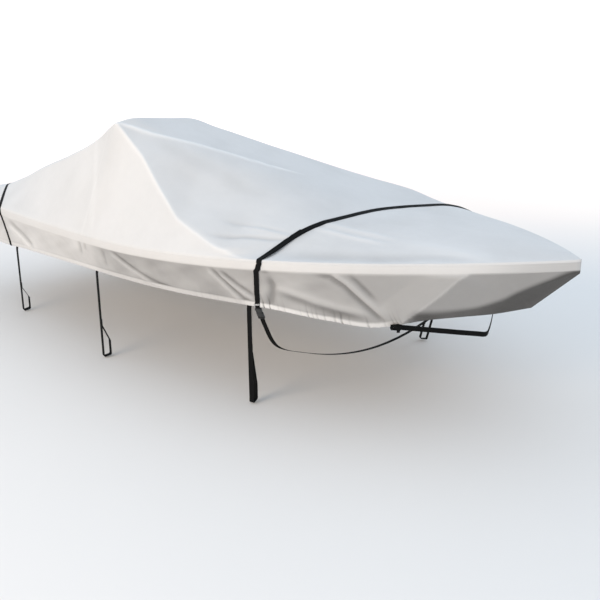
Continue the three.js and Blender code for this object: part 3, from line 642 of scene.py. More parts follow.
@dataclass(frozen=True)
class Gathers:
    """The gathers that the elastic draws into the hem, at a pitch that drifts, with finer ones among them.

    The over-strap presses them flat. Ticks of painted shade lie between them, most just ahead of it.
    """

    start: float
    strap_station: float = 1.325
    pitch: float = 0.029
    drift: Wave = Wave(1.9, 0.171)
    jitter: Wave = Wave(1.0, 0.083, 2.0)
    even: float = 0.70
    swell: Wave = Wave(0.30, 0.31)
    short_swell: Wave = Wave(0.32, 0.118, 1.0)
    fine_pitch: float = 0.0173
    fine_drift: Wave = Wave(1.1, 0.091)
    fine_share: float = 0.35
    reach: float = 0.030
    pressed: float = 0.024
    tick_slope: float = -1.2
    tick_least: float = 0.40
    tick_reach: float = 0.026
    tick_height: float = 0.0050
    tick_ahead: float = 0.060
    tick_width: float = 0.032
    tick_more: float = 1.6
    height: StationCurve = StationCurve(
        (0.0, 0.64, 0.74, 1.28, 1.44, 2.6, 4.4, 4.7, 6.0),
        (0.0002, 0.0003, 0.0034, 0.0034, 0.0006, 0.0003, 0.0004, 0.0009, 0.0004))

    def wave(self, run: Array) -> Array:
        """Gives the uneven wave of the gathers along the hem, about 1 high."""
        phase = TURN * run / self.pitch + self.drift.at(run, self.start) + self.jitter.at(run)
        fine = TURN * run / self.fine_pitch + self.fine_drift.at(run)
        swell = self.even + self.swell.at(run) + self.short_swell.at(run)
        return np.sin(phase) * swell + self.fine_share * np.sin(fine)

    def lift(self, run: Array, above: Array) -> Array:
        """Gives the outward lift, by the run along the hem and the height above its edge."""
        free = 1 - bell((run - self.strap_station) / self.pressed)
        return self.height(run) * self.wave(run) * free * np.exp(-above / self.reach)

    def ticks(self, run: Array, above: Array) -> Array:
        """Gives the shade of the ticks, by the run along the hem and the height above its edge."""
        between = np.clip(self.tick_slope * self.wave(run) - self.tick_least, 0, 1)
        ticks = between * np.exp(-above / self.tick_reach) * self.height(run) / self.tick_height
        from_most = run - self.strap_station + self.tick_ahead
        return ticks * (1 + self.tick_more * bell(from_most / self.tick_width))


@dataclass(frozen=True)
class PaintedSkirtShade:
    """The painted shade on a skirt: most where it turns under the bow, and little on the hem.

    A pair named for an edge, a start or an end holds the two measures between which a share rises.
    """

    gathers: Gathers
    under: float = 0.90
    under_edge: Span = (-0.022, 0.034)
    under_thinned: float = 0.45
    under_thin: Span = (0.35, 0.60)
    under_end: Span = (0.62, 0.72)
    below_band: Span = (0.0, 0.006)
    facet: float = 0.175
    facet_edge: Span = (0.0, 0.012)
    crease: float = 0.45
    crease_height: float = 0.012
    crease_limits: Span = (-0.35, 0.6)
    crease_start: Span = (0.70, 0.80)
    mark: float = 0.25
    mark_ahead: float = 0.088
    mark_below: float = 0.008
    mark_size: Span = (0.020, 0.010)
    hem_edge: Span = (0.0, 0.003)
    hem_fore: Span = (0.68, 0.76)
    hem_aft: Span = (1.28, 1.45)
    hem_aft_share: float = 0.45
    line: float = 0.14
    line_width: float = 0.004
    line_start: Span = (0.74, 0.80)
    band_bow: float = 0.25
    band_bow_end: Span = (0.06, 0.45)
    band_aft: float = 0.055
    band_aft_start: Span = (1.2, 1.6)
    hanging: StationCurve = StationCurve(
        (0.0, 0.55, 0.80, 1.20, 1.60, 2.30, 2.46, 2.56, 2.75, 3.40, 4.60),
        (0.37, 0.37, 0.42, 0.43, 0.52, 0.52, 0.43, 0.22, 0.16, 0.14, 0.13))
    shaded: StationCurve = StationCurve(
        (0.0, 0.018, 0.119, 0.235, 0.325, 0.446, 0.552, 0.617, 0.720),
        (0.002, 0.004, 0.052, 0.113, 0.168, 0.210, 0.217, 0.216, 0.300))

    def on_band(self, s: Array) -> Array:
        """Gives the share of painted shade on the gunwale band, most by the bow and a little aft."""
        by_bow = self.band_bow * (1 - eased(*self.band_bow_end, s))
        return by_bow + self.band_aft * eased(*self.band_aft_start, s)

    def on_cloth(self, s: Array, d: Array, drop: Array, hem: Array, lift: Array) -> Array:
        """Gives the share of painted shade on the hanging cloth.

        Args:
            s: stations.
            d: distances below the band.
            drop: the skirt's whole drop there.
            hem: the hem's height there.
            lift: how far the folds lift the cloth.

        Returns:
            The share, from 0 to 1.
        """
        # painted shade where the skirt turns under the bow
        under = eased(*self.under_edge, d - self.shaded(s)) * (1 - eased(*self.under_end, s))
        under = under * (1 - self.under_thinned * eased(*self.under_thin, s))
        # painted shade over the hanging cloth, more on the facet ahead of the facet fold
        facet_station, facet_drop = zip(*FACET_LINE)
        ahead = eased(*self.facet_edge, np.interp(d, facet_drop, facet_station) - s)
        hanging = self.hanging(s) * eased(*self.below_band, d) + self.facet * ahead
        # painted shade in the fold troughs and painted highlight on their ridges
        creased = np.clip(-lift / self.crease_height, *self.crease_limits) * eased(*self.crease_start, s)
        # a dark patch just ahead of the over-strap, below the band
        from_mark = s - self.gathers.strap_station + self.mark_ahead
        mark = bell(from_mark / self.mark_size[0]) * bell((d - self.mark_below) / self.mark_size[1])
        painted_shade = hanging + self.crease * creased + self.mark * mark
        above = drop - d
        over_hem = above - hem
        kept = np.maximum(eased(*self.hem_edge, over_hem), self.hem_aft_share * eased(*self.hem_aft, s))
        kept = np.maximum(kept, 1 - eased(*self.hem_fore, s))
        # a darker line just above the hem's seam
        line = bell(over_hem / self.line_width - 1) * eased(*self.line_start, s)
        # painted shade between the gathers
        ticks = self.gathers.ticks(s, above)
        return np.clip(painted_shade * kept + self.line * line + ticks + self.under * under, 0, 1)


@dataclass
class SkirtForm:
    """The shape of one side's skirt: the gunwale band, the hanging cloth and its hem."""

    hull: Hull
    side: Side
    folds: tuple[Fold, ...]
    seed: int
    band_edge: float = 0.003
    band_bulge: float = 0.0010
    band_bow: float = 0.100
    stem_end: float = 0.249
    stem_rake: float = 0.95
    stem_blunt: float = 0.012
    stem_calm: float = 0.120
    keep_out: float = 0.045
    tuck_soft: float = 0.10
    probe: float = 0.004
    probe_share: float = 0.8
    ripple_height: float = 0.0022
    ripple_waves: Span = (0.5, 0.07)
    ripple_squash: float = 1.6
    ripple_start: Span = (0.70, 0.95)
    edge_calm: float = 0.020
    hem_calm: float = 0.85
    hem_calm_start: Span = (0.82, 0.96)
    hem_most: float = 0.4
    hem_soft: float = 0.004
    hem_swell: float = 0.0018
    hem_swell_start: Span = (0.62, 0.80)
    # the hem is paler where it is gathered: how much, and where this starts
    hem_paling: float = 110.0
    hem_paling_start: Span = (0.74, 0.80)
    scallop: float = 0.8
    first_row: float = 0.012
    band_rows: int = 9
    cloth_rows: int = 26
    hem_rows: int = 9
    corner_steps: int = 14
    stern_steps: int = 110
    hem_height: StationCurve = StationCurve((0.0, 1.30, 1.60, 4.60), (0.022, 0.022, 0.025, 0.024))
    hang: dict[str, StationCurve] = field(default_factory=lambda: curves_of(SKIRT_COLUMNS, SKIRT_ROWS))
    tuck: dict[str, StationCurve] = field(default_factory=lambda: curves_of(TUCK_COLUMNS, TUCK_ROWS))

    def __post_init__(self) -> None:
        """Gives this side its own unevenness, gathers and painted shade."""
        self.ripple = Ripple(self.seed, self.ripple_height, *self.ripple_waves)
        self.gathers = Gathers(self.seed)
        self.painted_shade = PaintedSkirtShade(self.gathers)

    def side_places(self, stations: Array) -> Places:
        """Gives places along the side of the hull.

        Args:
            stations: the stations.

        Returns:
            The places.
        """
        sign = self.side.value
        half = np.maximum(self.hull.half(stations), SEAM_GAP / 2)
        point = np.stack((-stations, sign * half), axis=1)
        inward = np.tile((0.0, -float(sign)), (len(stations), 1))
        return Places(stations, stations.copy(), point, inward)

    def stern_places(self) -> Places:
        """Gives places round the stern corner and along the stern to its middle seam.

        Returns:
            The places.
        """
        sign = self.side.value
        radius = self.hull.stern_corner
        start = self.hull.length - radius
        middle = float(self.hull.half(np.array([start]))[0]) - radius
        turn = np.linspace(0, math.pi / 2, self.corner_steps + 1)[1:]
        outward = np.stack((-np.sin(turn), sign * np.cos(turn)), axis=1)
        corner = np.array((-start, sign * middle)) + outward * radius
        y = np.linspace(middle, SEAM_GAP / 2, self.stern_steps + 1)[1:]
        back = np.stack((np.full_like(y, -self.hull.length), sign * y), axis=1)
        ahead = np.tile((1.0, 0.0), (self.stern_steps, 1))
        run = np.concatenate((start + radius * turn, start + radius * math.pi / 2 + (middle - y)))
        station = np.full(len(run), self.hull.length)
        return Places(station, run, np.concatenate((corner, back)), np.concatenate((-outward, ahead)))

    def drop(self, s: Array) -> Array:
        """Gives how far the skirt hangs below the band's edge."""
        stem = self.hull.sheer(s) + self.stem_blunt + self.stem_rake * s
        return np.where(s < self.stem_end, stem, self.hang["drop"](s))

    def lean(self, s: Array) -> Array:
        """Gives how far the skirt leans in for each metre that it hangs."""
        half = np.maximum(self.hull.half(s), SEAM_GAP / 2)
        stem = (half - SEAM_GAP / 2) / self.drop(s)
        return np.where(s < self.stem_end, stem, self.hang["lean"](s))

    def face(self, s: float, share: float) -> Array:
        """Gives a point of the smooth outer face, by station and share of the drop."""
        at = np.array([s])
        d = float(self.drop(at)[0]) * share
        half = float(self.hull.half(at)[0]) - float(self.lean(at)[0]) * d
        return np.array((-s, self.side.value * half, float(self.hull.sheer(at)[0]) - d))

    def hem_place(self, s: float) -> Pose:
        """Gives the hem's edge at a station.

        Args:
            s: the station.

        Returns:
            The place.
        """
        point = self.face(s, 1.0)
        fore = unit(self.face(s - self.probe, 1.0) - self.face(s + self.probe, 1.0))
        down = unit(point - self.face(s, self.probe_share))
        return Pose(point, fore, down, unit(np.cross(down, fore)) * -self.side.value)

    def tuck_reach(self, s: Array, d: Array, drop: Array) -> Array:
        """Gives how far the crease under the bow stands out of the straight lean.

        Args:
            s: stations.
            d: distances below the band.
            drop: the skirt's whole drop there.

        Returns:
            The outward distance.
        """
        depth = self.tuck["depth"](s)
        share = soft_least(d / depth, (drop - d) / np.maximum(drop - depth, 1e-4), self.tuck_soft)
        return self.tuck["reach"](s) * np.clip(share, 0.0, 1.0)

    def shares(self) -> tuple[Array, Array]:
        """Gives the shares of the cloth's height, and of the hem's, at which their rows lie."""
        return np.linspace(self.first_row, 1, self.cloth_rows), np.linspace(0, 1, self.hem_rows + 1)[1:]

    def calm(self, run: Array) -> Array:
        """Gives the share of the folds that is left near the stem, where the cloth lies flat."""
        return eased(self.stem_end, self.stem_end + self.stem_calm, run)

    def band(self, s: Array) -> tuple[Array, Array]:
        """Lays out the gunwale band.

        Args:
            s: stations.

        Returns:
            How far inside the hull edge and how far above it each row lies.
        """
        t = np.linspace(0, 1, self.band_rows)[None, :]
        top = SEAM_HEIGHT - SEAM_GAP
        bulge = self.band_bulge * 4 * t * (1 - t) * np.minimum(1, s / self.band_bow)
        return self.hull.seam(s) * (1 - t) - bulge, top + (self.band_edge - top) * t

    def folded(self, run: Array, d: Array, drop: Array) -> tuple[Array, Array]:
        """Works out the folds of the hanging cloth.

        Args:
            run: distances along the hull edge.
            d: distances below the band.
            drop: the skirt's whole drop there.

        Returns:
            How far the folds lift the cloth outward, and the painted highlight along them.
        """
        lift = self.ripple.rise(run, self.ripple_squash * d) * eased(*self.ripple_start, run)
        facet = np.zeros_like(lift)
        wear_and_highlight = np.zeros_like(lift)
        for fold in self.folds:
            rise = fold.rise(run, d)
            facet = facet + rise * (fold.form is FoldForm.FACET)
            lift = lift + rise * (fold.form is not FoldForm.FACET)
            wear_and_highlight = wear_and_highlight + fold.wear_and_highlight(run, d)
        by_hem = 1 - self.hem_calm * eased(*self.hem_calm_start, d / drop)
        return (lift * by_hem + facet) * self.calm(run) * eased(0.0, self.edge_calm, d), wear_and_highlight

    def grid(self, places: Places) -> tuple[Array, Array]:
        """Lays out the skirt from the seam over the band's edge to the hem.

        Args:
            places: the places along the hull edge.

        Returns:
            Points of the outer face by place and row, and the painted shade and painted highlight on
            each, with the hem paler where it is gathered.
        """
        s = places.station[:, None]
        base = self.hull.sheer(s)
        drop = self.drop(s)
        hem = np.minimum(self.hem_height(s), self.hem_most * drop)
        cloth_share, hem_share = self.shares()
        d = np.concatenate((cloth_share * (drop - hem), drop - hem + hem_share * hem), axis=1)
        run = np.repeat(places.run[:, None], d.shape[1], axis=1)
        lift, wear_and_highlight = self.folded(run, d, drop)
        # painted shade on the hanging cloth
        soil = self.painted_shade.on_cloth(s, d, drop, hem, lift)
        above = drop - d
        on_hem = (1 - eased(0.0, self.hem_soft, above - hem)) * eased(0.0, self.hem_soft, above)
        # the hem is paler, more where it is gathered
        wear_and_highlight = wear_and_highlight + self.hem_paling * self.gathers.height(s) * on_hem * eased(*self.hem_paling_start, s)
        gathered = self.gathers.lift(run, above) * self.calm(run)
        lift = lift + self.hem_swell * on_hem * eased(*self.hem_swell_start, run) + gathered
        inset = self.lean(s) * d - self.tuck_reach(s, d, drop) - lift
        inset = np.minimum(inset, self.lean(s) * drop + self.keep_out)
        band_in, band_up = self.band(s)
        inset = np.concatenate((band_in, inset), axis=1)
        z = np.concatenate((base + band_up, base - d + self.scallop * gathered), axis=1)
        plan = places.point[:, None, :] + places.inward[:, None, :] * inset[..., None]
        plan[..., 1] = self.side.value * np.maximum(self.side.value * plan[..., 1], SEAM_GAP / 2)
        # painted shade on the gunwale band
        band_marks = np.zeros((*band_in.shape, 2))
        band_marks[..., 0] = self.painted_shade.on_band(s)
        marks = np.concatenate((band_marks, np.stack((soil, wear_and_highlight), axis=-1)), axis=1)
        return np.concatenate((plan, z[..., None]), axis=2), marks


def arithmetic(operation: str, reflected: bool = False) -> Callable[[Signal, Signal | float], Signal]:
    """Makes a signal's operator.

    Args:
        operation: the Math node's operation.
        reflected: whether the signal stands on the right of the operator.

    Returns:
        The method.
    """
    def worked_out(signal: Signal, other: Signal | float) -> Signal:
        """Adds the Math node."""
        return signal.board.maths(operation, *((other, signal) if reflected else (signal, other)))

    return worked_out


class Signal:
    """A shader value that takes part in plain arithmetic."""

    def __init__(self, board: Board, socket: bpy.types.NodeSocket) -> None:
        """Wraps one output socket of a board's node."""
        self.board = board
        self.socket = socket

    __add__ = arithmetic("ADD")
    __radd__ = arithmetic("ADD", reflected=True)
    __sub__ = arithmetic("SUBTRACT")
    __rsub__ = arithmetic("SUBTRACT", reflected=True)
    __mul__ = arithmetic("MULTIPLY")
    __rmul__ = arithmetic("MULTIPLY", reflected=True)
    __lt__ = arithmetic("LESS_THAN")

    def __abs__(self) -> Signal:
        """Drops the sign."""
        return self.board.maths("ABSOLUTE", self)


class Board:
    """The nodes of one material or of the sky."""

    def __init__(self, owner: Material | bpy.types.World) -> None:
        """Starts with no nodes."""
        owner.use_nodes = True
        self.owner = owner
        self.tree = owner.node_tree
        self.tree.nodes.clear()

    def node(self, kind: str, settings: dict | None = None, sockets: dict | None = None) -> bpy.types.Node:
        """Adds a node.

        Args:
            kind: the node's type.
            settings: its properties, or a ramp's stops, which are set first.
            sockets: values or signals by the input's name or number.

        Returns:
            The node.
        """
        made = self.tree.nodes.new(kind)
        for key, value in (settings or {}).items():
            if key == "stops":
                for stop, (position, colour) in zip(made.color_ramp.elements, value):
                    stop.position = position
                    stop.color = colour
            else:
                setattr(made, key, value)
        for key, value in (sockets or {}).items():
            if isinstance(value, Signal):
                self.tree.links.new(value.socket, made.inputs[key])
            else:
                made.inputs[key].default_value = value
        return made

    def signal(self, kind: str, settings: dict | None = None, sockets: dict | None = None,
               output: str | int = 0) -> Signal:
        """Adds a node and gives one of its outputs as a signal."""
        return Signal(self, self.node(kind, settings, sockets).outputs[output])

    def maths(self, operation: str, *values: Signal | float) -> Signal:
        """Adds a Math node on the values."""
        return self.signal("ShaderNodeMath", {"operation": operation}, dict(enumerate(values)))

    def wave(self, value: Signal, length: float) -> Signal:
        """Gives a wave of that length along a measure."""
        return self.maths("SINE", value * (TURN / length))

    def along(self, operation: str, *values: Signal | Spot) -> Signal:
        """Gives a single measure of a place by a Vector Math node."""
        settings = {"operation": operation}
        return self.signal("ShaderNodeVectorMath", settings, dict(enumerate(values)), "Value")

    def map_range(self, value: Signal, low: float, high: float) -> Signal:
        """Maps a value smoothly from low and high to 0 and 1."""
        sockets = {"Value": value, "From Min": low, "From Max": high}
        return self.signal("ShaderNodeMapRange", {"interpolation_type": "SMOOTHSTEP", "clamp": True}, sockets)

    def mixed(self, share: Signal, first: Signal | Colour, second: Signal | Colour) -> Signal:
        """Mixes two colours by a share."""
        settings = {"data_type": "RGBA", "clamp_factor": True}
        return self.signal("ShaderNodeMix", settings, {0: share, 6: first, 7: second}, 2)

    def noise(self, place: Signal, scale: float, detail: float, roughness: float) -> Signal:
        """Adds soft noise at a place."""
        sockets = {"Vector": place, "Scale": scale, "Detail": detail, "Roughness": roughness}
        return self.signal("ShaderNodeTexNoise", {}, sockets, "Fac")

    def map_parts(self, name: str) -> tuple[Signal, Signal]:
        """Gives the two measures of one of the piece's own maps."""
        spread = self.node("ShaderNodeSeparateXYZ", {}, {0: self.signal("ShaderNodeUVMap", {"uv_map": name})})
        return Signal(self, spread.outputs[0]), Signal(self, spread.outputs[1])

    def object_place(self) -> Signal:
        """Gives the place on the piece in its own frame."""
        return self.signal("ShaderNodeTexCoord", {}, {}, "Object")

    def bump(self, height: Signal, strength: float) -> Signal:
        """Gives the normal that a height in metres bends."""
        sockets = {"Strength": strength, "Distance": 1.0, "Height": height}
        return self.signal("ShaderNodeBump", {}, sockets, "Normal")

    def finish(self, sockets: dict[str, Signal | float]) -> Material:
        """Adds the shader, by the names of its inputs, and joins it to the output."""
        shader = self.signal("ShaderNodeBsdfPrincipled", {}, sockets)
        self.node("ShaderNodeOutputMaterial", {}, {"Surface": shader})
        return self.owner


def grey(value: float, warm: float = 0.0) -> Colour:
    """Gives a grey, warmer where warm is above zero."""
    return (value * (1 + warm), value, value * (1 - warm), 1.0)


@dataclass(frozen=True)
class ClothFinish:
    """Coated woven cloth with sewn seams; each noise is given by scale, detail and roughness."""

    name: str
    shade: Colour
    aged: Colour
    thread: Colour
    # pale colour towards which the painted highlights, the paler hem and the seam laps mix
    worn_and_highlight: Colour = grey(0.74, 0.02)
    # near-black colour towards which the painted shade mixes
    painted_shade: Colour = grey(0.055, 0.05)
    weave: float = 0.0016
    stitch: float = 0.0055
    stitch_dash: float = 0.66
    stitch_half: float = 0.0007
    seam_rows: tuple[float, ...] = (0.004, 0.011)
    cross_rows: tuple[float, ...] = (0.004, 0.018)
    seam_crease: Span = (0.0006, 0.0036)
    cross_crease: Span = (0.0006, 0.0030)
    lap_middle: float = 0.012
    lap_edge: Span = (0.0140, 0.0105)
    lap_pale: float = 0.07
    clouds: Spot = (2.2, 3.0, 0.5)
    cloud_span: Span = (0.35, 0.75)
    mottle: Spot = (26.0, 4.0, 0.6)
    crumple: Spot = (11.0, 3.0, 0.55)
    least_rough: float = 0.56
    bump: float = 0.8

    def stitches(self, board: Board, layer: str, rows: Iterable[float]) -> Signal:
        """Draws rows of stitches beside a seam.

        Args:
            board: the material's nodes.
            layer: the map that holds the run along the seam and the distance from it.
            rows: distances of the stitch rows from the seam.

        Returns:
            A mask that is 1 on the thread.
        """
        run, away = board.map_parts(layer)
        dash = board.maths("FRACT", run * (1 / self.stitch)) < self.stitch_dash
        mask = None
        for row in rows:
            line = dash * (abs(away - row) < self.stitch_half)
            mask = line if mask is None else board.maths("MAXIMUM", mask, line)
        return mask

    def material(self) -> Material:
        """Builds the material."""
        board = Board(bpy.data.materials.new(self.name))
        place = board.object_place()
        across, along = board.map_parts(CLOTH_MAP)
        _, from_seam = board.map_parts(SEAM_MAP)
        _, from_cross = board.map_parts(CROSS_MAP)
        # painted shade and painted highlights, from the cloth's own map
        painted_shade, wear_and_highlight = board.map_parts(PAINTED_LIGHT_MAP)
        threads = board.wave(across, self.weave) * board.wave(along, self.weave)
        cloudy = board.noise(place, *self.clouds)
        mottled = board.noise(place, *self.mottle)
        crumpled = board.noise(place, *self.crumple)
        near_seam = 1 - board.map_range(abs(from_seam), *self.seam_crease)
        near_cross = 1 - board.map_range(abs(from_cross), *self.cross_crease)
        lapped = board.map_range(abs(from_cross - self.lap_middle), *self.lap_edge)
        stitched = board.maths("MAXIMUM", self.stitches(board, SEAM_MAP, self.seam_rows),
                               self.stitches(board, CROSS_MAP, self.cross_rows))
        aged = board.map_range(cloudy, *self.cloud_span) * 0.45 + mottled * 0.35 + near_cross * 0.10
        colour = board.mixed(aged, self.shade, self.aged)
        # painted highlights, the paler hem and the seam laps make the cloth paler
        colour = board.mixed(lapped * self.lap_pale + wear_and_highlight * (0.6 + mottled * 0.5), colour, self.worn_and_highlight)
        colour = board.mixed(stitched * 0.6, colour, self.thread)
        # painted shade makes the cloth darker
        colour = board.mixed(painted_shade * (0.85 + cloudy * 0.3), colour, self.painted_shade)
        relief = threads * 0.00008 + crumpled * 0.0016 + mottled * 0.0003 + stitched * 0.0002
        relief = relief - near_seam * 0.0001 + lapped * 0.0003
        return board.finish({
            "Base Color": colour, "Roughness": self.least_rough + mottled * 0.14,
            "Normal": board.bump(relief, self.bump), "Sheen Weight": 0.12, "Sheen Roughness": 0.5,
            "Specular IOR Level": 0.35})


@dataclass(frozen=True)
class WebbingFinish:
    """Black woven strap with ribs along it and a firmer edge."""

    name: str = "black_webbing"
    shade: Colour = grey(0.0030, -0.04)
    worn_and_highlight: Colour = grey(0.0085)
    rib: float = 0.0031
    pick: float = 0.0022
    slant: float = 0.4
    edge: Span = (0.0100, 0.0122)
    grime: Spot = (60.0, 3.0, 0.6)
    bump: float = 0.9

    def material(self) -> Material:
        """Builds the material."""
        board = Board(bpy.data.materials.new(self.name))
        across, along = board.map_parts(CLOTH_MAP)
        rib = board.wave(across, self.rib)
        pick = board.wave(along + abs(rib) * (self.slant * self.pick), self.pick)
        dusty = board.noise(board.object_place(), *self.grime)
        edge = board.map_range(abs(across), *self.edge)
        relief = rib * 0.00025 + pick * 0.00012 + dusty * 0.0001 - edge * 0.0002
        return board.finish({
            "Base Color": board.mixed(dusty * 0.45 + edge * 0.35 + rib * 0.12, self.shade, self.worn_and_highlight),
            "Roughness": 0.56 + dusty * 0.22, "Normal": board.bump(relief, self.bump),
            "Specular IOR Level": 0.10})


@dataclass(frozen=True)
class PlasticFinish:
    """Moulded black plastic with a fine grain."""

    name: str = "moulded_black"
    shade: Colour = grey(0.014, -0.02)
    worn_and_highlight: Colour = grey(0.040)
    grain: Spot = (900.0, 2.0, 0.5)
    wear_and_highlight: Spot = (90.0, 4.0, 0.65)
    wear_span: Span = (0.5, 0.8)
    bump: float = 0.3

    def material(self) -> Material:
        """Builds the material."""
        board = Board(bpy.data.materials.new(self.name))
        place = board.object_place()
        grain = board.noise(place, *self.grain)
        wear_and_highlight = board.map_range(board.noise(place, *self.wear_and_highlight), *self.wear_span)
        return board.finish({
            "Base Color": board.mixed(wear_and_highlight * 0.5, self.shade, self.worn_and_highlight),
            "Roughness": 0.30 + wear_and_highlight * 0.2 + grain * 0.08, "Normal": board.bump(grain * 0.0001, self.bump)})


@dataclass(frozen=True)
class MetalFinish:
    """Pale plated metal, a little scuffed."""

    name: str = "pale_plated_metal"
    shade: Colour = grey(0.50, 0.01)
    scuffed: Colour = grey(0.30, 0.03)
    scuffs: Spot = (220.0, 5.0, 0.7)
    scuff_span: Span = (0.45, 0.75)
    bump: float = 0.3

    def material(self) -> Material:
        """Builds the material."""
        board = Board(bpy.data.materials.new(self.name))
        scuffs = board.map_range(board.noise(board.object_place(), *self.scuffs), *self.scuff_span)
        return board.finish({
            "Base Color": board.mixed(scuffs * 0.7, self.shade, self.scuffed), "Metallic": 0.9,
            "Roughness": 0.28 + scuffs * 0.3, "Normal": board.bump(scuffs * 0.0001, self.bump)})


@dataclass(frozen=True)
class FloorFinish:
    """A plain pale studio floor that glows a little far off and behind the cover."""

    name: str = "pale_floor"
    near: Colour = grey(0.72, 0.045)
    faint: Colour = grey(0.70, 0.045)
    far: Colour = grey(0.94, 0.045)
    clouds: Spot = (0.7, 3.0, 0.5)
    far_span: Span = (3.0, 12.0)
    unlit: Colour = grey(0.0)
    glow: Colour = (0.25, 0.16, 0.09, 1.0)
    glow_span: Span = (8.0, 18.0)
    back_way: Spot = (-0.73, 0.68, 0.0)
    back_span: Span = (1.2, 5.0)

    def material(self) -> Material:
        """Builds the material."""
        board = Board(bpy.data.materials.new(self.name))
        place = board.object_place()
        away = board.along("LENGTH", place)
        back = board.along("DOT_PRODUCT", place, self.back_way)
        colour = board.mixed(board.noise(place, *self.clouds), self.near, self.faint)
        colour = board.mixed(board.map_range(away, *self.far_span), colour, self.far)
        lit = board.map_range(away, *self.glow_span) + board.map_range(back, *self.back_span)
        return board.finish({
            "Base Color": colour, "Roughness": 0.75, "Specular IOR Level": 0.2,
            "Emission Color": board.mixed(lit, self.unlit, self.glow), "Emission Strength": 1.0})


class Dressing:
    """The finishes that the pieces share."""

    def __init__(self) -> None:
        """Builds each finish once."""
        top = ClothFinish("top_cloth", grey(0.57, 0.014), grey(0.50, 0.018), grey(0.62, 0.01))
        skirt = ClothFinish("skirt_cloth", grey(0.575, 0.018), grey(0.505, 0.026), grey(0.62, 0.03),
                            cross_rows=(0.003,))
        self.top = top.material()
        self.skirt = skirt.material()
        self.webbing = WebbingFinish().material()
        self.plastic = PlasticFinish().material()
        self.metal = MetalFinish().material()


def linked(name: str, data: bpy.types.ID) -> Piece:
    """Makes an object and puts it into the scene."""
    made = bpy.data.objects.new(name, data)
    bpy.context.scene.collection.objects.link(made)
    return made


@dataclass
class Shell:
    """Points and faces of one closed mesh with its maps, before it becomes an object."""

    points: Array
    faces: Array
    maps: dict[str, Array]
    smooth: Array

    def joined(self, other: Shell) -> Shell:
        """Adds the points and faces of another shell that has the same maps."""
        maps = {key: np.concatenate((values, other.maps[key])) for key, values in self.maps.items()}
        return Shell(np.concatenate((self.points, other.points)),
                     np.concatenate((self.faces, other.faces + len(self.points))), maps,
                     np.concatenate((self.smooth, other.smooth)))

    def to_object(self, name: str, material: Material) -> Piece:
        """Makes the object, in the frame.

        Args:
            name: the piece's name.
            material: its finish.

        Returns:
            The object.
        """
        mesh = bpy.data.meshes.new(name)
        mesh.from_pydata((self.points + FRAME_SHIFT).tolist(), [], self.faces.tolist())
        corners = np.zeros(len(mesh.loops), np.int32)
        mesh.loops.foreach_get("vertex_index", corners)
        for layer, values in self.maps.items():
            uv = mesh.uv_layers.new(name=layer)
            uv.data.foreach_set("uv", values[corners].astype(np.float32).ravel())
        mesh.polygons.foreach_set("use_smooth", self.smooth.tolist())
        mesh.materials.append(material)
        mesh.update()
        return linked(name, mesh)


def edged(grid: Array) -> Array:
    """Adds a close row inside each border of a grid, so that the shading turns only at the rim.

    Args:
        grid: values by row and column.

    Returns:
        The grid with two more rows and columns.
    """
    for axis in (0, 1):
        turned = np.moveaxis(grid, axis, 0)
        first = turned[:1] + (turned[1:2] - turned[:1]) * RIM_SHARE
        last = turned[-1:] + (turned[-2:-1] - turned[-1:]) * RIM_SHARE
        turned = np.concatenate((turned[:1], first, turned[1:-1], last, turned[-1:]))
        grid = np.moveaxis(turned, 0, axis)
    return grid


def closed_shell(outer: Array, inner: Array, sign: float, maps: dict[str, Array]) -> Shell:
    """Closes the space between two grids of points.

    Args:
        outer: points of the outer face by row and column.
        inner: points of the inner face.
        sign: which way of the grid's cross product points outward.
        maps: map values by row and column.

    Returns:
        The closed shell, whose rim is shaded flat.
    """
    outer = edged(outer)
    inner = edged(inner)
    rows, columns, _ = outer.shape
    under = rows * columns
    number = np.arange(under).reshape(rows, columns)
    a, b, c, d = number[:-1, :-1], number[:-1, 1:], number[1:, 1:], number[1:, :-1]
    outside = np.stack((a, b, c, d), axis=-1).reshape(-1, 4)
    loop = np.concatenate((number[0, :], number[1:, -1], number[-1, -2::-1], number[-2:0:-1, 0]))
    following = np.roll(loop, -1)
    rim = np.stack((following, loop, loop + under, following + under), axis=-1)
    if sign < 0:
        outside = outside[:, (0, 3, 2, 1)]
        rim = rim[:, ::-1]
    faces = np.concatenate((rim, outside[:, ::-1] + under, outside))
    points = np.concatenate((outer.reshape(-1, 3), inner.reshape(-1, 3)))
    doubled = {key: np.tile(edged(values).reshape(-1, 2), (2, 1)) for key, values in maps.items()}
    return Shell(points, faces, doubled, np.arange(len(faces)) >= len(rim))


def cloth_shell(outer: Array, sign: float, maps: dict[str, Array]) -> Shell:
    """Gives a grid of outer points the thickness of the cloth; sign says which way is outward."""
    return closed_shell(outer, outer - grid_normals(outer, sign) * CLOTH, sign, maps)


def declare(piece: Piece, node: str) -> Piece:
    """Tells the frame what a piece rides on, hides the solid that it stands for, and logs it.

    Args:
        piece: the piece.
        node: the solid that it stands for.

    Returns:
        The piece.
    """
    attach(piece, ROOT)
    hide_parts(node)
    LOG.info("%s: %d faces", piece.name, len(piece.data.polygons))
    return piece


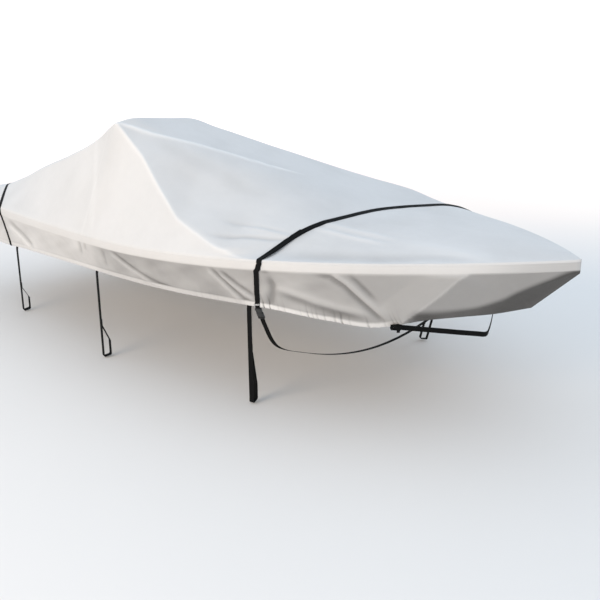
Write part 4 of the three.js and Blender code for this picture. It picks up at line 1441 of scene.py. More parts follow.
@dataclass
class TopPanels:
    """The fore and after panels of the top, sewn together across the cover."""

    form: TopForm
    dressing: Dressing
    nose: float = 0.007
    # painted shade in the top's fold troughs: the depth that gives the most of it, and that most
    fold_depth: float = 0.03
    fold_shade: float = 0.3
    off_seam: float = 0.5
    grids: dict[str, Array] = field(default_factory=dict)
    marks: dict[str, Array] = field(default_factory=dict)

    def lay_out(self) -> None:
        """Works out the outer faces, and the painted shade in their fold troughs and the painted highlights
        along their creases.
        """
        length = self.form.hull.length
        shoulder = length - self.form.round_up
        stops = {"top_fore": ((self.nose, 0.0), (0.018, 0.0028), (0.10, 0.010), (2.3, 0.0145),
                              (PANEL_SEAM - SEAM_GAP / 2, 0.011)),
                 "top_aft": ((PANEL_SEAM + SEAM_GAP / 2, 0.0), (2.80, 0.012), (shoulder - 0.05, 0.0175),
                             (shoulder, 0.007), (length, 0.0020))}
        for name, stations in stops.items():
            self.grids[name], lift, wear_and_highlight = self.form.grid(stepped(stations))
            # painted shade in the fold troughs
            painted_shade = np.clip(-lift / self.fold_depth, 0, self.fold_shade)
            self.marks[name] = np.stack((painted_shade, wear_and_highlight), axis=-1)

    def maps(self, name: str) -> dict[str, Array]:
        """Gives the maps of the weave, the stitches, the painted shade and the painted highlights.

        Args:
            name: which panel.

        Returns:
            The maps by name.
        """
        grid = self.grids[name]
        across = runs(grid, 1)
        width = across[:, -1:]
        station = -grid[..., 0]
        along = runs(grid, 0)
        from_seam = np.minimum(across, width - across)
        cross_run = across - width / 2
        from_cross = np.where(station > PANEL_SEAM, station - PANEL_SEAM, self.off_seam)
        return {CLOTH_MAP: np.stack((cross_run, along), axis=-1),
                SEAM_MAP: np.stack((along, from_seam), axis=-1),
                CROSS_MAP: np.stack((cross_run, from_cross), axis=-1),
                PAINTED_LIGHT_MAP: self.marks[name]}

    def build(self) -> None:
        for name, grid in self.grids.items():
            panel = cloth_shell(grid, 1.0, self.maps(name)).to_object(name + "_cloth", self.dressing.top)
            piece = declare(panel, name)


@dataclass
class Skirts:
    """The four skirt pieces: fore and aft on each side."""

    hull: Hull
    dressing: Dressing
    forms: dict[Side, SkirtForm] = field(default_factory=dict)
    stations: dict[str, Array] = field(default_factory=dict)
    grids: dict[tuple[str, Side], Array] = field(default_factory=dict)
    marks: dict[tuple[str, Side], Array] = field(default_factory=dict)

    def lay_out(self) -> None:
        """Works out the outer faces, and the painted shade and painted highlights on them, with the paler
        hem.
        """
        hull = self.hull
        self.forms = {Side.STARBOARD: SkirtForm(hull, Side.STARBOARD, STARBOARD_FOLDS, 11),
                      Side.PORT: SkirtForm(hull, Side.PORT, PORT_FOLDS, 23)}
        self.stations = {
            "fore": stepped(((hull.nose_station, 0.0), (0.020, 0.0012), (0.06, 0.004), (0.60, 0.008),
                             (1.56, 0.0042), (PANEL_SEAM - SEAM_GAP / 2, 0.0085))),
            "aft": stepped(((PANEL_SEAM + SEAM_GAP / 2, 0.0), (hull.length - hull.stern_corner, 0.0090)))}
        for part, stations in self.stations.items():
            for side, form in self.forms.items():
                places = form.side_places(stations)
                if part == "aft":
                    places = places.joined(form.stern_places())
                self.grids[part, side], self.marks[part, side] = form.grid(places)

    def maps(self, part: str, side: Side) -> dict[str, Array]:
        """Gives the maps of the weave, the stitches, the painted shade and the painted highlights.

        Args:
            part: fore or aft.
            side: on which side.

        Returns:
            The maps by name.
        """
        grid = self.grids[part, side]
        along = runs(grid, 0)
        down = runs(grid, 1)
        hem = self.forms[side].hem_height(-grid[:, :1, 0])
        spread = np.stack((along, down), axis=-1)
        return {CLOTH_MAP: spread, SEAM_MAP: spread,
                CROSS_MAP: np.stack((along, hem - (down[:, -1:] - down)), axis=-1),
                PAINTED_LIGHT_MAP: self.marks[part, side]}

    def build(self) -> None:
        for (part, side), grid in self.grids.items():
            node = f"skirt_{part}_{side.label}"
            shell = cloth_shell(grid, side.value, self.maps(part, side))
            piece = declare(shell.to_object(node + "_cloth", self.dressing.skirt), node)


@dataclass
class Surface:
    """A panel's outer face, read between the stations of its grid; sign says which way is outward."""

    stations: Array
    grid: Array
    sign: float

    def __post_init__(self) -> None:
        """Works out the normals."""
        self.normals = grid_normals(self.grid, self.sign)

    def at(self, s: Array, columns: Array) -> tuple[Array, Array]:
        """Reads the face at stations along some of its columns.

        Args:
            s: the stations.
            columns: the numbers of the columns, in a shape that fits the stations.

        Returns:
            The points and their outward normals.
        """
        i = np.clip(np.searchsorted(self.stations, s, side="right") - 1, 0, len(self.stations) - 2)
        t = ((s - self.stations[i]) / (self.stations[i + 1] - self.stations[i]))[..., None]
        points, normals = ((1 - t) * each[i, columns] + t * each[i + 1, columns]
                           for each in (self.grid, self.normals))
        return points, unit(normals)


@dataclass(frozen=True)
class StrapRoute:
    """An over-strap's solid, the panels that it lies on and the rule for its station across them."""

    node: str
    part: str
    station: float
    skew_starboard: float = 0.0
    skew_port: float = 0.0
    lean_starboard: float = 0.0
    lean_port: float = 0.0
    shift: float = 0.0
    bend: float = 0.880
    bend_run: float = 0.195
    bow: float = 0.0
    bow_middle: float = -0.600
    bow_width: float = 0.200
    taut: float = 0.0

    def station_at(self, y: Array, depth: Array) -> Array:
        """Gives the strap's station.

        Args:
            y: places across the cover.
            depth: how far down the skirt each lies, 0 on the top and 1 at the hem.

        Returns:
            The stations.
        """
        port = y > 0
        outboard = np.clip((-y - self.bend) / self.bend_run, 0, 1)
        outboard = np.where((depth > 0) & ~port, 1.0, outboard)
        on_top = self.station - np.where(port, self.skew_port, self.skew_starboard) * y
        lean = np.where(port, self.lean_port, self.lean_starboard)
        bowed = self.bow * bell((y - self.bow_middle) / self.bow_width) * (depth == 0)
        return on_top - self.shift * outboard + lean * depth + bowed


BOW_ROUTE = StrapRoute("bow_strap", "fore", 1.250, 0.012, 0.050, lean_starboard=0.066, bow=0.023, taut=0.75)
STERN_ROUTE = StrapRoute("stern_strap", "aft", 4.030, lean_starboard=-0.045, lean_port=-0.045, shift=0.245)


def walked(path: Array) -> Array:
    """Gives the distance walked along a line of points to each of them."""
    return np.concatenate(([0.0], np.cumsum(np.linalg.norm(np.diff(path, axis=0), axis=1))))


@dataclass(frozen=True)
class Webbing:
    """The woven strap's own size, and the strips that are cut from it."""

    width: float = 0.027
    thickness: float = 0.0022
    clear: float = 0.0005
    edge: float = 0.45
    edge_share: float = 0.97
    points_across: int = 9

    def offsets(self) -> Array:
        """Gives places across the strap, closer together at its edges."""
        return self.width / 2 * np.sin(np.linspace(-1, 1, self.points_across) * math.pi / 2)

    def strip(self, lines: Array, outward: Array, lift: Array | float = 0.0) -> Shell:
        """Makes a closed strip over lines of points that lie across it.

        Args:
            lines: points by step and place across.
            outward: the outward way at each of them.
            lift: how far off those points the strip's under side lies.

        Returns:
            The strip's shell.
        """
        share = np.abs(self.offsets()) / (self.width / 2)
        full = np.where(share > self.edge_share, self.edge, 1.0)[None, :, None]
        middle = self.clear + np.asarray(lift, float)[..., None, None] + self.thickness / 2
        upper = lines + outward * (middle + full * self.thickness / 2)
        lower = lines + outward * (middle - full * self.thickness / 2)
        spread = np.meshgrid(self.offsets(), walked(lines[:, self.points_across // 2]))
        return closed_shell(upper, lower, 1.0, {CLOTH_MAP: np.stack(spread, axis=-1)})

    def along_path(self, path: Array, across: Array) -> Shell:
        """Makes a strip along a path that no cloth carries.

        Args:
            path: the middle of the strip at each step.
            across: the way across at each step, or one for all.

        Returns:
            The strip's shell.
        """
        along = unit(np.gradient(path, axis=0))
        across = squared(np.broadcast_to(across, path.shape), along)
        outward = np.cross(across, along)
        lines = path[:, None, :] + across[:, None, :] * self.offsets()[None, :, None]
        spread = np.repeat(outward[:, None, :], self.points_across, axis=1)
        return self.strip(lines, spread, -self.clear - self.thickness / 2)


def path_length(path: Array) -> float:
    """Gives the length of a line of points."""
    return float(walked(path)[-1])


def spaced(path: Array, step: float) -> Array:
    """Gives points at even steps along a line of points."""
    run = walked(path)
    even = np.linspace(0, run[-1], max(2, round(run[-1] / step) + 1))
    return np.stack([np.interp(even, run, path[:, k]) for k in range(3)], axis=1)


def soft_curve(knots: Array, step: float) -> Array:
    """Runs a centripetal spline through knots.

    Args:
        knots: the points that it passes.
        step: the distance between the points it gives.

    Returns:
        Points at even steps along the curve.
    """
    ends = np.concatenate(([2 * knots[0] - knots[1]], knots, [2 * knots[-1] - knots[-2]]))
    t = np.linspace(0, 1, CURVE_STEPS + 1)[:-1, None]
    pieces = []
    for k in range(len(knots) - 1):
        p0, p1, p2, p3 = ends[k:k + 4]
        d0, d1, d2 = (math.sqrt(float(np.linalg.norm(b - a))) for a, b in ((p0, p1), (p1, p2), (p2, p3)))
        first = ((p1 - p0) / d0 - (p2 - p0) / (d0 + d1) + (p2 - p1) / d1) * d1
        second = ((p2 - p1) / d1 - (p3 - p1) / (d1 + d2) + (p3 - p2) / d2) * d1
        bend = (3 * (p2 - p1) - 2 * first - second) * t**2 + (2 * (p1 - p2) + first + second) * t**3
        pieces.append(p1 + first * t + bend)
    pieces.append(knots[-1:])
    return spaced(np.concatenate(pieces), step)


@dataclass
class OverStrap:
    """A strap that lies on the cover from the starboard hem to the port hem."""

    route: StrapRoute
    webbing: Webbing
    skirts: dict[Side, Surface]
    top: Surface
    depths: Array
    reach: float = 0.002
    passes: int = 6
    tilt: float = 0.007
    tilt_end: Span = (0.70, 0.90)
    tilt_slope: Span = (0.5, 0.8)
    end_steps: int = 4
    tail_start: float = 0.046
    tail_end: float = -0.555
    tail_gap: float = 0.0004
    tail_curl: float = 0.003
    curl_run: float = 0.05
    lines: Array | None = None
    outward: Array | None = None

    def lay_out(self) -> None:
        """Works out the lines of points across the strap, on the cloth."""
        rows = np.arange(len(self.depths))
        columns = np.arange(1, self.top.grid.shape[1] - 1)
        legs = ((self.skirts[Side.STARBOARD], rows[::-1], self.depths[::-1]),
                (self.top, columns, np.zeros(len(columns))),
                (self.skirts[Side.PORT], rows, self.depths))
        stations = []
        centre = []
        fore = []
        for surface, numbers, depth in legs:
            s = np.full(len(numbers), self.route.station)
            for _ in range(self.passes):
                s = self.route.station_at(surface.at(s, numbers)[0][:, 1], depth)
            stations.append(s)
            centre.append(surface.at(s, numbers)[0])
            ahead = surface.at(s - self.reach, numbers)[0]
            behind = surface.at(s + self.reach, numbers)[0]
            fore.append((ahead - behind) / (2 * self.reach))
        along = unit(np.gradient(np.concatenate(centre), axis=0))
        slope = np.concatenate(fore)
        square = slope - along * (slope * along).sum(axis=1, keepdims=True)
        stretch = np.split(1 / np.linalg.norm(square, axis=1), np.cumsum([len(s) for s in stations])[:-1])
        lines = []
        outward = []
        for (surface, numbers, _), s, wider in zip(legs, stations, stretch):
            spread = s[:, None] - self.webbing.offsets()[None, :] * wider[:, None]
            points, normals = surface.at(spread, np.repeat(numbers[:, None], spread.shape[1], axis=1))
            lines.append(points)
            outward.append(normals)
        self.lines = np.concatenate(lines)
        self.outward = np.concatenate(outward)
        inboard = 1 - eased(*self.tilt_end, np.abs(self.centre()[:, 1]))
        level = inboard * eased(*self.tilt_slope, self.outward[:, 0, 2])
        raised = level[:, None] * (0.5 - self.webbing.offsets()[None, :] / self.webbing.width)
        self.lines = self.lines + self.outward * (self.tilt * raised)[..., None]
        self.lines[..., 2] += (self.route.taut * self.hollows())[:, None]

    def hollows(self) -> Array:
        """Gives how far the cloth lies below a line drawn tight over it from gunwale to gunwale."""
        y, z = self.centre()[:, 1], self.centre()[:, 2]
        deck = np.arange(len(self.depths), len(y) - len(self.depths))
        tight = [deck[0]]
        while tight[-1] != deck[-1]:
            ahead = deck[deck > tight[-1]]
            tight.append(ahead[np.argmax((z[ahead] - z[tight[-1]]) / (y[ahead] - y[tight[-1]]))])
        bridged = np.interp(y[deck], y[tight], z[tight])
        gap = np.zeros_like(z)
        gap[deck] = np.maximum(bridged - z[deck], 0)
        return gap

    def centre(self) -> Array:
        """Gives the line along the middle of the strap."""
        return self.lines[:, self.webbing.points_across // 2]

    def drawn_out(self, pulls: dict[Side, Array], length: float) -> None:
        """Leads both ends on past the hem towards what pulls them.

        Args:
            pulls: the way that each end is pulled.
            length: how far each end is led.
        """
        for side, pull in pulls.items():
            end = 0 if side is Side.STARBOARD else -1
            way = np.linspace(0, length, self.end_steps + 1)[1:]
            lines = self.lines[end] + pull * way[:, None, None]
            outward = np.repeat(squared(self.outward[end], pull)[None], self.end_steps, axis=0)
            self.lines = np.concatenate((self.lines[::side.value], lines))[::side.value]
            self.outward = np.concatenate((self.outward[::side.value], outward))[::side.value]

    def tail(self) -> tuple[Shell, float]:
        """Makes the strap's free end, which runs back up over it from the starboard slider.

        Returns:
            The tail's shell and its length.
        """
        run = walked(self.centre())
        chosen = np.flatnonzero((run > self.tail_start) & (self.centre()[:, 1] < self.tail_end))
        at = run[chosen]
        curl = self.tail_curl * eased(at[-1] - self.curl_run, at[-1], at)
        lift = self.webbing.thickness + self.tail_gap + curl
        return self.webbing.strip(self.lines[chosen], self.outward[chosen], lift), float(at[-1] - at[0])

    def build(self, dressing: Dressing, extra: tuple[Shell, float] | None = None) -> None:
        """Args:
            dressing: the finishes.
            extra: a further layer of the same strap, and its length.
        """
        shell = self.webbing.strip(self.lines, self.outward)
        length = path_length(self.centre())
        if extra is not None:
            shell = shell.joined(extra[0])
            length += extra[1]
        node = self.route.node
        piece = declare(shell.to_object(node + "_webbing", dressing.webbing), node)


@dataclass(frozen=True)
class TieRow:
    """Where one pair of tie-downs hangs: its hem station, its loop's lower end and where the loop starts."""

    name: str
    station: float
    end_station: float
    end_y: float
    end_z: float
    split: float


TIE_ROWS = (
    TieRow("bow", 1.372, 1.47, 0.76, -0.93, 0.45),
    TieRow("mid", 2.54, 2.635, 1.0, -0.93, 0.62),
    TieRow("stern", 3.655, 3.835, 0.953, -0.93, 0.62),
)


@dataclass(frozen=True)
class Knot:
    """The stem strap's end, gathered and wound round the strap below the hem, with a short tail."""

    turns: float = 2.4
    start: float = -0.55 * math.pi
    radius: float = 0.0130
    growth: float = 0.0024
    uneven: float = 0.12
    uneven_turns: float = 3.1
    length: float = 0.042
    length_back: float = 1.05
    wander: float = 0.002
    wander_turns: float = 2.3
    out: float = 0.010
    up: float = 0.006
    tail: float = 0.012
    tail_out: float = 0.25
    tail_on: float = 0.15
    points: int = 40
    tail_points: int = 10
    step: float = 0.0025

    def path(self, corner: Array, way: Array, outward: Array) -> Array:
        """Gives the path of the windings and the tail.

        Args:
            corner: where the strap starts, below the hem.
            way: the way along the strap.
            outward: the way outward from the hem.

        Returns:
            Points at even steps.
        """
        aside = squared(outward, way)
        below = unit(np.cross(way, aside))
        below = below if below[2] < 0 else -below
        share = np.linspace(0, 1, self.points)[:, None]
        turn = TURN * self.turns * share + self.start
        radius = self.radius * (1 + self.uneven * np.sin(self.uneven_turns * turn)) + self.growth * share
        middle = corner + aside * self.out - below * self.up
        along = self.length * (share - self.length_back) + self.wander * np.sin(self.wander_turns * turn)
        wound = middle + way * along + radius * (aside * np.cos(turn) + below * np.sin(turn))
        hang = np.linspace(0, 1, self.tail_points)[1:, None]
        hung = below * hang + aside * self.tail_out * hang**2 + way * self.tail_on * hang
        return spaced(np.concatenate((wound, wound[-1] + self.tail * hung)), self.step)


@dataclass
class HungStraps:
    """The straps that hang free: the belly strap, the stem strap and the tie-downs."""

    dressing: Dressing
    webbing: Webbing
    forms: dict[Side, SkirtForm]
    step: float = 0.010
    belly_lead: float = 0.045
    belly_rows: tuple[Span, ...] = ((0.700, -0.566), (0.500, -0.655), (0.250, -0.722))
    belly_keel: float = -0.745
    stem_station: float = 0.724
    stem_front: Spot = (-0.491, 0.0, -0.445)
    stem_half: Spot = (-0.513, 0.058, -0.435)
    stem_hang: float = 0.0126
    knot: Knot = Knot()
    knot_webbing: Webbing = Webbing(width=0.017)
    tab_height: float = 0.010
    tab_inner: float = 0.008
    tab_off: float = 0.0036
    tab_below: float = 0.006
    tab_points: int = 9
    tab_step: float = 0.003
    tie_tab: float = 0.024
    tie_inside: float = 0.0016
    tie_start: float = 0.020
    tie_step: float = 0.005
    loop_depth: float = 0.052
    loop_height: float = 0.105
    loop_corner: float = 0.008
    loop_points: int = 6
    sewn_back: float = 0.045
    sewn_gaps: Span = (0.0006, 0.0005)

    def declared(self, shell: Shell, node: str) -> None:
        strap = shell.to_object(node + "_webbing", self.dressing.webbing)
        declare(strap, node)

    def belly(self, ends: dict[Side, Pose], reach: float, inside: float) -> None:
        """Hangs the belly strap from buckle to buckle.

        Args:
            ends: the over-strap's two ends.
            reach: how far below them the buckles end.
            inside: how far the strap reaches back into the buckles.
        """
        first = ends[Side.STARBOARD]
        last = ends[Side.PORT]
        low_first = first.moved(reach, 0)
        low_last = last.moved(reach, 0)
        rows = [(-y, z) for y, z in self.belly_rows] + [(0.0, self.belly_keel)] + list(self.belly_rows[::-1])
        hanging = []
        for y, z in rows:
            share = (y - low_first[1]) / (low_last[1] - low_first[1])
            hanging.append(((1 - share) * low_first[0] + share * low_last[0], y, z))
        lead = reach + self.belly_lead
        knots = np.array([first.moved(reach - inside, 0), first.moved(lead, 0), *hanging,
                          last.moved(lead, 0), last.moved(reach - inside, 0)])
        path = soft_curve(knots, self.step)
        share = np.linspace(0, 1, len(path))[:, None]
        across = (1 - share) * first.across + share * last.across
        self.declared(self.webbing.along_path(path, across), "belly_strap")

    def stem(self) -> None:
        """Runs the stem strap from hem corner to hem corner, each end in a tab sewn over the hem."""
        places = {side: form.hem_place(self.stem_station) for side, form in self.forms.items()}
        hang = np.array((0.0, 0.0, -self.stem_hang))
        corners = {side: place.point - place.outward * CLOTH / 2 + hang for side, place in places.items()}
        back, wide, high = self.stem_half
        knots = np.array([corners[Side.STARBOARD], (back, -wide, high), self.stem_front, (back, wide, high),
                          corners[Side.PORT]])
        path = soft_curve(knots, self.step)
        shell = self.webbing.along_path(path, np.array((0.0, 0.0, 1.0)))
        length = path_length(path)
        for side, place in places.items():
            tab = self.tab(place)
            shell = shell.joined(self.webbing.along_path(tab, place.across * side.value))
            way = unit(np.array((back, side.value * wide, high)) - corners[side])
            knot = self.knot.path(corners[side], way, place.outward)
            shell = shell.joined(self.knot_webbing.along_path(knot, way))
            length += path_length(tab) + path_length(knot)
        self.declared(shell, "stem_strap")

    def tab(self, place: Pose) -> Array:
        """Gives the path of a tab that is folded over the hem's edge.

        Args:
            place: where on the hem it is sewn.

        Returns:
            The path from the outer face, round below the edge, to the inner face.
        """
        turn = np.linspace(0, math.pi, self.tab_points)[:, None]
        outer = place.point + place.outward * self.tab_off - place.down * self.tab_height
        inner = place.point - place.outward * (self.tab_off + CLOTH) - place.down * self.tab_inner
        middle = place.point - place.outward * CLOTH / 2 + place.down * (self.stem_hang + self.tab_below)
        half = self.tab_off + CLOTH / 2
        fold = middle + place.outward * half * np.cos(turn) + place.down * half * np.sin(turn)
        return spaced(np.concatenate((outer[None], fold, inner[None])), self.tab_step)

    def loop(self, length: float, split: float) -> Array:
        """Gives a tie-down's path in its own plane, down to the loop and back up to where it is sewn.

        Args:
            length: the tie-down's length to the loop's lower end.
            split: how far down the loop starts.

        Returns:
            Places by distance inward and upward.
        """
        thick = self.webbing.thickness
        depth = self.loop_depth - thick / 2
        corner = self.loop_corner
        low = (0, -length + thick / 2)
        arc = np.linspace(0, math.pi / 2, self.loop_points)
        near = np.stack((corner - corner * np.cos(arc), corner - corner * np.sin(arc)), axis=1)
        far = np.stack((depth - corner + corner * np.sin(arc), corner - corner * np.cos(arc)), axis=1)
        lower_gap, upper_gap = self.sewn_gaps
        return np.concatenate((
            [(0.0, -self.tie_start), (0.0, -split)], near + low, far + low,
            [(depth, -length + self.loop_height), (thick + lower_gap, -split),
             (thick + upper_gap, -split + self.sewn_back)]))

    def tie_down(self, row: TieRow, side: Side) -> None:
        """Hangs a tie-down from the inside of the hem, with a loop at its lower end.

        Args:
            row: where it hangs.
            side: on which side.
        """
        place = self.forms[side].hem_place(row.station)
        start = place.point - place.outward * CLOTH / 2
        end = np.array((-row.end_station, side.value * row.end_y, row.end_z))
        up = unit(start - end)
        across = squared(place.across, up)
        inward = np.cross(up, across)
        turn = -1.0 if inward[1] * side.value > 0 else 1.0
        length = float(np.linalg.norm(start - end))
        flat = self.loop(length, length * row.split)
        hung = start + flat[:, :1] * inward * turn + flat[:, 1:] * up
        tab = place.point - place.outward * (CLOTH + self.webbing.thickness / 2 + self.tie_inside)
        tab = tab - place.down * np.array((self.tie_tab, self.tie_tab / 2, 0.0))[:, None]
        path = spaced(np.concatenate((tab, hung)), self.tie_step)
        shell = self.webbing.along_path(path, across * turn)
        self.declared(shell, f"tie_down_{row.name}_{side.label}")


class Moulding:
    """A fitting that is modelled from a block, with its root at the origin and its length along Y."""

    EDGE_ANGLE = math.radians(30.0)
    SMOOTH_ANGLE = math.radians(40.0)

    def __init__(self, name: str, size: Spot) -> None:
        """Adds the block.

        Args:
            name: the piece's name.
            size: its sides.
        """
        bpy.ops.object.select_all(action="DESELECT")
        bpy.ops.mesh.primitive_cube_add(size=1.0)
        self.piece = bpy.context.object
        self.piece.name = name
        bpy.ops.object.mode_set(mode="EDIT")
        bpy.ops.transform.resize(value=size)
        bpy.ops.transform.translate(value=(0.0, size[1] / 2, size[2] / 2))
        bpy.ops.object.mode_set(mode="OBJECT")

    def cut_across(self, places: Iterable[float], axis: int) -> None:
        """Cuts the block's faces across one axis.

        Args:
            places: where along the axis.
            axis: which axis.
        """
        way = np.eye(3)[axis]
        bpy.ops.object.mode_set(mode="EDIT")
        for place in places:
            bpy.ops.mesh.select_all(action="SELECT")
            bpy.ops.mesh.bisect(plane_co=(way * place).tolist(), plane_no=way.tolist())
        bpy.ops.object.mode_set(mode="OBJECT")

    def pick(self, wanted: Callable[[Vector, Vector], bool]) -> None:
        """Selects faces and goes into edit mode.

        Args:
            wanted: says by a face's middle and normal whether it is selected.
        """
        bpy.ops.object.mode_set(mode="EDIT")
        bpy.ops.mesh.select_mode(type="FACE")
        bpy.ops.mesh.select_all(action="DESELECT")
        bpy.ops.object.mode_set(mode="OBJECT")
        for face in self.piece.data.polygons:
            face.select = wanted(face.center, face.normal)
        bpy.ops.object.mode_set(mode="EDIT")

    def sink(self, rim: float, depth: float, each: bool = False) -> None:
        """Insets the selected faces, each by itself if asked, and sinks what is inside the rim."""
        bpy.ops.mesh.inset(thickness=rim, depth=-depth, use_individual=each)
        bpy.ops.object.mode_set(mode="OBJECT")

    def narrow(self, scale: Spot) -> None:
        """Scales the selected faces about their middle."""
        bpy.ops.transform.resize(value=scale)
        bpy.ops.object.mode_set(mode="OBJECT")

    def rounded(self, width: float, segments: int) -> Piece:
        """Rounds the edges and smooths the faces.

        Args:
            width: the rounding's width.
            segments: its steps.

        Returns:
            The finished piece, at the origin.
        """
        bevel = self.piece.modifiers.new("rounded_edges", "BEVEL")
        bevel.width = width
        bevel.segments = segments
        bevel.limit_method = "ANGLE"
        bevel.angle_limit = self.EDGE_ANGLE
        bpy.ops.object.modifier_apply(modifier=bevel.name)
        bpy.ops.object.shade_smooth_by_angle(angle=self.SMOOTH_ANGLE)
        return self.piece


@dataclass
class Fittings:
    """The buckles at the fore over-strap's ends and the sliders above the hem.

    A sunk face is given by its rim and its depth. A face looks along an axis if more of its normal than
    facing does.
    """

    dressing: Dressing
    facing: float = 0.9
    near: float = 0.001
    buckle_width: float = 0.036
    buckle_thick: float = 0.011
    buckle_round: float = 0.0007
    socket_length: float = 0.044
    socket_cuts: tuple[float, ...] = (0.008, 0.016, 0.034, 0.040)
    socket_root: Spot = (0.83, 1.0, 0.78)
    window: Span = (0.016, 0.034)
    side_window: Span = (0.0016, 0.0050)
    face_panel: Span = (0.0042, 0.0009)
    strap_slot: Span = (0.0020, 0.0050)
    mouth: Span = (0.0018, 0.0060)
    plug_length: float = 0.034
    plug_cuts: tuple[float, ...] = (0.003, 0.012, 0.016, 0.0205, 0.0245, 0.029)
    plug_end: Spot = (0.83, 1.0, 0.60)
    plug_slots: tuple[Span, ...] = ((0.016, 0.0205), (0.0245, 0.029))
    plug_slot: Span = (0.0024, 0.0060)
    plug_slope: float = 0.6
    plug_root: Span = (0.0018, 0.0015)
    slider_size: Spot = (0.033, 0.009, 0.004)
    slider_rise: float = 0.020
    slider_lift: float = 0.0008
    slider_dish_half: float = 0.012
    slider_dish: Span = (0.0018, 0.0009)
    slider_end: Spot = (1.0, 0.72, 0.80)
    slider_round: float = 0.0010
    webbing_solid: float = 0.002

    def socket(self) -> Piece:
        """Models the socket half, with its strap slot, mouth and side windows.

        Returns:
            The piece, at the origin.
        """
        length = self.socket_length
        low, high = self.window
        block = Moulding("buckle_socket", (self.buckle_width, length, self.buckle_thick))
        block.cut_across(self.socket_cuts, 1)
        block.pick(lambda at, way: way.y < -self.facing)
        block.narrow(self.socket_root)
        block.pick(lambda at, way: abs(way.x) > self.facing and low < at.y < high)
        block.sink(*self.side_window)
        block.pick(lambda at, way: abs(way.z) > self.facing and low < at.y < high)
        block.sink(*self.face_panel)
        block.pick(lambda at, way: way.y < -self.facing and at.y < self.near)
        block.sink(*self.strap_slot)
        block.pick(lambda at, way: way.y > self.facing and at.y > length - self.near)
        block.sink(*self.mouth)
        return block.rounded(self.buckle_round, 2)

    def plug(self) -> Piece:
        """Models the plug half, with the two slots that the belly strap is threaded through.

        Returns:
            The piece, at the origin.
        """
        block = Moulding("buckle_plug", (self.buckle_width, self.plug_length, self.buckle_thick))
        block.cut_across(self.plug_cuts, 1)
        block.pick(lambda at, way: way.y > self.facing)
        block.narrow(self.plug_end)
        block.pick(lambda at, way: way.z > self.plug_slope and any(
            low < at.y < high for low, high in self.plug_slots))
        block.sink(*self.plug_slot, each=True)
        block.pick(lambda at, way: way.y < -self.facing)
        block.sink(*self.plug_root)
        return block.rounded(self.buckle_round, 2)

    def slider(self) -> Piece:
        """Models the slider: a dished bar with rounded ends.

        Returns:
            The piece, at the origin.
        """
        half = self.slider_dish_half
        end = self.slider_size[0] / 2 - self.near
        block = Moulding("slider", self.slider_size)
        block.cut_across((-half, half), 0)
        block.pick(lambda at, way: way.z > self.facing and abs(at.x) < half)
        block.sink(*self.slider_dish)
        block.pick(lambda at, way: abs(way.x) > self.facing and abs(at.x) > end)
        block.narrow(self.slider_end)
        return block.rounded(self.slider_round, 3)

    def placed(self, model: Piece, place: Matrix, node: str, material: Material) -> None:
        """Args:
            model: the fitting at the origin.
            place: the matrix that moves it.
            node: the solid that it stands for.
            material: its finish.
        """
        mesh = model.data.copy()
        mesh.transform(place)
        mesh.materials.clear()
        mesh.materials.append(material)
        declare(linked(node + "_fitting", mesh), node)

    def build(self, ends: dict[Side, Pose], hems: dict[Side, Pose]) -> None:
        """Models each fitting once and sets one on each side.

        Args:
            ends: the over-strap's ends, below the hem.
            hems: the strap at the hem's edge.
        """
        socket, plug, slider = self.socket(), self.plug(), self.slider()
        lift = (self.webbing_solid - self.buckle_thick) / 2
        below = 2 * SEAM_GAP + self.socket_length
        plastic = self.dressing.plastic
        for side in Side:
            at_socket = ends[side].matrix(SEAM_GAP, lift)
            at_plug = ends[side].matrix(below, lift)
            at_slider = hems[side].matrix(-self.slider_rise, self.slider_lift)
            self.placed(socket, at_socket, f"buckle_socket_{side.label}", plastic)
            self.placed(plug, at_plug, f"buckle_plug_{side.label}", plastic)
            self.placed(slider, at_slider, f"slider_{side.label}", self.dressing.metal)
        for model in (socket, plug, slider):
            bpy.data.meshes.remove(model.data)


